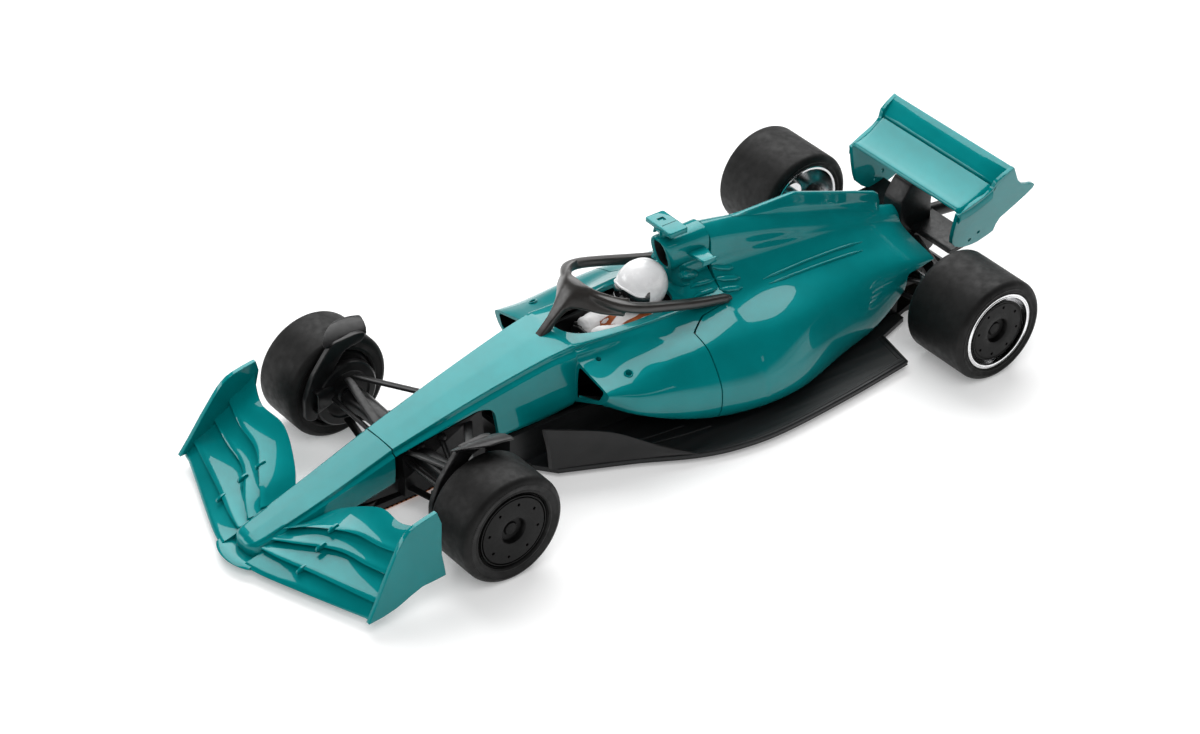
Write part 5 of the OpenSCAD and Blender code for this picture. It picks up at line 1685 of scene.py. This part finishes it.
def make_front_wheels():
    w = FRONT_W
    face = w - 0.45
    bore = min(face - 1.25, box_mm("front_axle")[1].y - FRONT_IN + 0.15)
    for side, word in SIDES:
        body = "front_wheel_" + word
        profile = [(0, bore), (AXLE_R + 0.05, bore), (AXLE_R + 0.05, 1.4), (6.6, 1.4), (6.6, 0.6),
                   (7.1, 0.55), (7.5, 0.9), (7.5, w - 0.8), (7.42, face + 0.05), (7.3, face - 0.1),
                   (7.2, face - 0.5), (7.12, face - 0.5), (7.02, face + 0.02), (6.84, face + 0.02),
                   (6.76, face - 0.4), (6.66, face - 0.4), (6.55, face + 0.02), (5.0, face + 0.06),
                   (3.0, face + 0.06), (2.62, face), (2.35, face - 0.35), (2.25, face - 0.95),
                   (1.35, face - 1.05), (1.15, face - 0.75), (0.5, face - 0.68), (0, face - 0.68)]
        rim = lathe("front_disc_" + word, profile, FRONT_X, FRONT_IN, FRONT_R, side, ["wheel_black"], body)
        cut(rim, *wheel_holes(FRONT_X, FRONT_IN + face, FRONT_R, side, 5.3, 0.3))
        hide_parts("front_rim_" + word)


def make_rear_wheels():
    w = REAR_W
    edge = w - 0.35
    face = w - 0.7
    for side, word in SIDES:
        barrel = [(7.95, 0.5), (7.95, w - 0.6), (7.9, edge), (7.72, edge + 0.06), (7.62, edge - 0.12),
                  (7.52, edge - 0.1), (7.42, edge + 0.04), (7.22, edge - 0.02), (7.1, edge - 0.5),
                  (7.1, 9.6), (2.6, 9.7), (2.6, 8.4), (7.1, 8.5), (7.2, 1.0), (7.4, 0.45), (7.8, 0.38)]
        rim = lathe("rear_barrel_" + word, barrel, REAR_X, REAR_IN, REAR_R, side, ["bright_rim"],
                    "rear_wheels", closed=True)
        lathe("rear_hub_" + word, [(AXLE_R, 4.4), (2.4, 4.4), (2.8, 4.9), (2.8, 9.7), (AXLE_R, 9.7)],
              REAR_X, REAR_IN, REAR_R, side, ["bright_rim"], "rear_wheels", 64, closed=True)
        cover = [(0, 9.75), (2.2, 9.75), (2.4, w - 2.2), (5.9, w - 1.7), (6.25, face - 0.5),
                 (6.32, face - 0.1), (6.2, face + 0.02), (6.0, face - 0.02), (5.9, face - 0.14),
                 (5.8, face - 0.02), (4.0, face + 0.04), (2.9, face + 0.02), (2.55, face - 0.1),
                 (2.35, face - 0.45), (2.25, face - 1.0), (1.4, face - 1.1), (1.15, face - 0.8),
                 (0.5, face - 0.72), (0, face - 0.72)]
        disc = lathe("rear_cover_disc_" + word, cover, REAR_X, REAR_IN, REAR_R, side, ["wheel_black"],
                     "rear_wheels")
        cut(disc, *wheel_holes(REAR_X, REAR_IN + face, REAR_R, side, 5.0, 0.3))
    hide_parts("rear_rims")
    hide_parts("rear_covers")


# ---- tail ----

def make_pylon():
    """Crash box, wing post, tail pipe and lower blade."""
    def slab(name, points, half):
        outline = rounded([(x * KL, z * KH) for x, z in points], 0.6, 3)
        return side_slab(name, outline, -half, half, 0.25)

    slab("crash_box", [(-69.4, 13.4), (-69.4, 5.9), (-73.8, 7.6), (-75.4, 8.6), (-75.4, 12.6)], 3.3)
    post = slab("wing_post",
                [(-69.6, 12), (-66.4, 13.4), (-66.0, 20.6), (-68.4, 24.3), (-74.6, 25.9), (-74.2, 19),
                 (-74.6, 12)], 2.5)
    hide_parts("rear_pylon")
    pipe = []
    for x, r in ((-67.2, 1.45), (-82.0, 1.45), (-83.1, 1.53), (-83.4, 1.45), (-83.4, 1.1), (-82.6, 1.05),
                 (-78, 1.0)):
        middle = 15.3 + 0.11 * (x + 67.2)
        pipe.append([(x * KL, r * c, middle * KH + r * s) for c, s in oval(40)])
    loft("tail_pipe", pipe, ["dark_plastic"], sharp=40)
    half = rear_half(14.8) - 0.5 * PLATE_T
    section = element_section((-69.0, 14.6), (-76.2, 15.4), 0.9, 0.6, 0.25, 0)
    rings = [[(p.x * KL, y, p.y * KH) for p in section] for y in (-half, -half / 2, 0, half / 2, half)]
    loft("lower_blade", rings, ["dark_plastic"], sharp=50)


# ---- guide ----

def make_braids():
    """Flat copper braids beside the blade, each fraying at its rear end."""
    lo, hi = box_mm("guide_braids")
    last = None
    for side in (1, -1):
        inner, outer = 1.1, hi.y
        mid = side * (inner + outer) / 2
        wide = (outer - inner) / 2
        path = spline([(hi.x, mid, 0.62), (hi.x - 1.0, mid, 0.5), (hi.x - 5, mid, 0.48),
                       ((lo.x + hi.x) / 2, mid, 0.5), (lo.x + 3, mid, 0.55), (lo.x + 0.3, mid, 0.8)], 4)
        last = sweep("pickup_braid", path, wide * 0.92, 0.3, ["copper_braid"], "guide", sides=20)
        for k in range(16):
            s = k / 15 - 0.5
            start = Vector((lo.x + 0.8, mid + s * wide * 1.6, 0.9))
            bend = start + Vector((-0.6 + 0.3 * noise.noise(Vector((k, side, 0))), s * 0.3,
                                   0.35 + 0.3 * noise.noise(Vector((k * 1.7, side, 2)))))
            end = bend + Vector((0.15 + 0.5 * noise.noise(Vector((k * 2.3, side, 5))), s * 0.5,
                                 0.9 + 0.5 * noise.noise(Vector((k * 3.1, side, 8)))))
            sweep("braid_strand", spline([start, bend, end], 3), 0.09, 0.09, ["copper_braid"], "guide",
                  sides=6, tips=False)
    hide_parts("guide_braids")


# ---- CAD nodes that stay ----

KEPT = {
    "cockpit_tray": "dark_plastic",
    "chassis_pan": "floor_black",
    "diffuser": "dark_plastic",
    "front_bulkhead": "dark_plastic",
    "front_axle": "steel",
    "motor": "motor_can",
    "motor_pod": "dark_plastic",
    "rear_axle": "steel",
    "crown_gear": "gear_nylon",
    "guide_flag": "dark_plastic",
}


def dress_nodes():
    for name, slot in KEPT.items():
        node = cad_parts[name]
        for s in node.material_slots:
            s.material = MATERIALS[slot]
        if not node.material_slots:
            node.data.materials.append(MATERIALS[slot])


# ---- stage ----

def seen_ray(n):
    """1 for what the camera, a mirror or a glass pane sees."""
    light = n.add("ShaderNodeLightPath")
    a = n.add("ShaderNodeMath")
    a.operation = "MAXIMUM"
    b = n.add("ShaderNodeMath")
    b.operation = "MAXIMUM"
    n.link(light.outputs["Is Camera Ray"], a.inputs[0])
    n.link(light.outputs["Is Glossy Ray"], a.inputs[1])
    n.link(a.outputs[0], b.inputs[0])
    n.link(light.outputs["Is Transmission Ray"], b.inputs[1])
    return b.outputs[0]


FLOOR_GLOW = 0.22


def floor_material():
    n = Nodes("studio_floor")
    tint = n.ramp(n.noise(3, 3), (0.80, 0.80, 0.80), (0.83, 0.83, 0.83))
    n.surface(tint, n.spread(n.noise(40, 2), 0.75, 0.85))
    glow = n.add("ShaderNodeMath")
    glow.operation = "MULTIPLY"
    glow.inputs[1].default_value = FLOOR_GLOW
    n.link(seen_ray(n), glow.inputs[0])
    n.bsdf.inputs["Emission Color"].default_value = (1, 1, 1, 1)
    n.link(glow.outputs[0], n.bsdf.inputs["Emission Strength"])
    return n.material


def make_stage():
    size = 3.0
    verts = []
    side = 24
    for i in range(side + 1):
        for j in range(side + 1):
            verts.append((-size + 2 * size * i / side, -size + 2 * size * j / side, 0.0))
    faces = grid_faces(side + 1, side + 1)
    mesh = bpy.data.meshes.new("studio_floor")
    mesh.from_pydata(verts, [], faces)
    floor = add_object("studio_floor", mesh)
    mesh.materials.append(floor_material())
    make_world()


WORLD_LIGHT = 0.3
CEILING = 0.02


def make_world():
    """White near the horizon, as a studio sweep is, under a dark ceiling. Diffuse light from it is weak."""
    world = bpy.data.worlds.new("studio")
    bpy.context.scene.world = world
    world.use_nodes = True
    tree = world.node_tree
    tree.nodes.clear()
    out = tree.nodes.new("ShaderNodeOutputWorld")
    back = tree.nodes.new("ShaderNodeBackground")
    light = tree.nodes.new("ShaderNodeLightPath")
    coords = tree.nodes.new("ShaderNodeTexCoord")
    split = tree.nodes.new("ShaderNodeSeparateXYZ")
    tree.links.new(coords.outputs["Generated"], split.inputs[0])
    fade = tree.nodes.new("ShaderNodeMapRange")
    fade.interpolation_type = "SMOOTHSTEP"
    fade.inputs["From Min"].default_value = 0.05
    fade.inputs["From Max"].default_value = 0.22
    fade.inputs["To Min"].default_value = 1.0
    fade.inputs["To Max"].default_value = CEILING
    tree.links.new(split.outputs["Z"], fade.inputs["Value"])

    def math_node(operation, a, b):
        n = tree.nodes.new("ShaderNodeMath")
        n.operation = operation
        for i, v in enumerate((a, b)):
            if isinstance(v, float):
                n.inputs[i].default_value = v
            else:
                tree.links.new(v, n.inputs[i])
        return n.outputs[0]

    mirror = math_node("MAXIMUM", light.outputs["Is Glossy Ray"], light.outputs["Is Transmission Ray"])
    mirror = math_node("MULTIPLY", mirror, fade.outputs[0])
    seen = math_node("MAXIMUM", light.outputs["Is Camera Ray"], mirror)
    diffuse = math_node("MULTIPLY", light.outputs["Is Diffuse Ray"], WORLD_LIGHT)
    tree.links.new(math_node("MAXIMUM", seen, diffuse), back.inputs["Strength"])
    back.inputs["Color"].default_value = (1, 1, 1, 1)
    tree.links.new(back.outputs[0], out.inputs["Surface"])


def softbox(name, azimuth, elevation, distance, wide, tall, radiance, mirrored=True):
    """Rectangular lamp that faces the car. azimuth is measured from +X towards +Y."""
    a = math.radians(azimuth)
    e = math.radians(elevation)
    toward = Vector((math.cos(a) * math.cos(e), math.sin(a) * math.cos(e), math.sin(e)))
    lamp = bpy.data.lights.new(name, "AREA")
    lamp.shape = "RECTANGLE"
    lamp.size = wide
    lamp.size_y = tall
    lamp.energy = radiance * wide * tall * math.pi
    obj = add_object(name, lamp)
    obj.location = toward * distance
    obj.rotation_euler = toward.to_track_quat("Z", "Y").to_euler()
    obj.visible_glossy = mirrored
    return obj


def make_lights():
    softbox("back_box", 235, 50, 0.95, 1.04, 0.8, 4.1)
    softbox("fill_box", 48, 56, 1.2, 0.8, 0.8, 3.3, mirrored=False)
    softbox("side_strip", 100, 26, 1.3, 0.9, 0.12, 1.8)
    softbox("nose_strip", 318, 22, 1.2, 0.7, 0.34, 4.2)


def make_camera_view():
    camera = bpy.data.cameras.new("camera")
    camera.sensor_width = 36
    camera.lens = 105.15
    camera.clip_start = 0.05
    camera.clip_end = 20
    obj = add_object("camera", camera)
    right = Vector((-0.78604, 0.61711, 0.03633))
    up = Vector((-0.32746, -0.46550, 0.82224))
    ahead = Vector((-0.52432, -0.63442, -0.56798))
    turn = Matrix((right, up, -ahead)).transposed()
    obj.matrix_world = Matrix.Translation(Vector((0.34576, 0.41152, 0.37804))) @ turn.to_4x4()
    bpy.context.scene.camera = obj


make_front_body()
make_engine_cover()
make_nose()
make_fin()
make_ribs()
make_airbox()
make_camera()
make_front_wing()
make_front_endplates()
make_rear_wing()
make_halo()
make_helmet()
make_driver()
make_steering()
make_floor()
make_front_suspension()
make_rear_suspension()
make_tyres()
make_front_wheels()
make_rear_wheels()
make_pylon()
make_braids()
dress_nodes()
make_stage()
make_lights()
make_camera_view()
bpy.context.scene.view_settings.view_transform = "Standard"
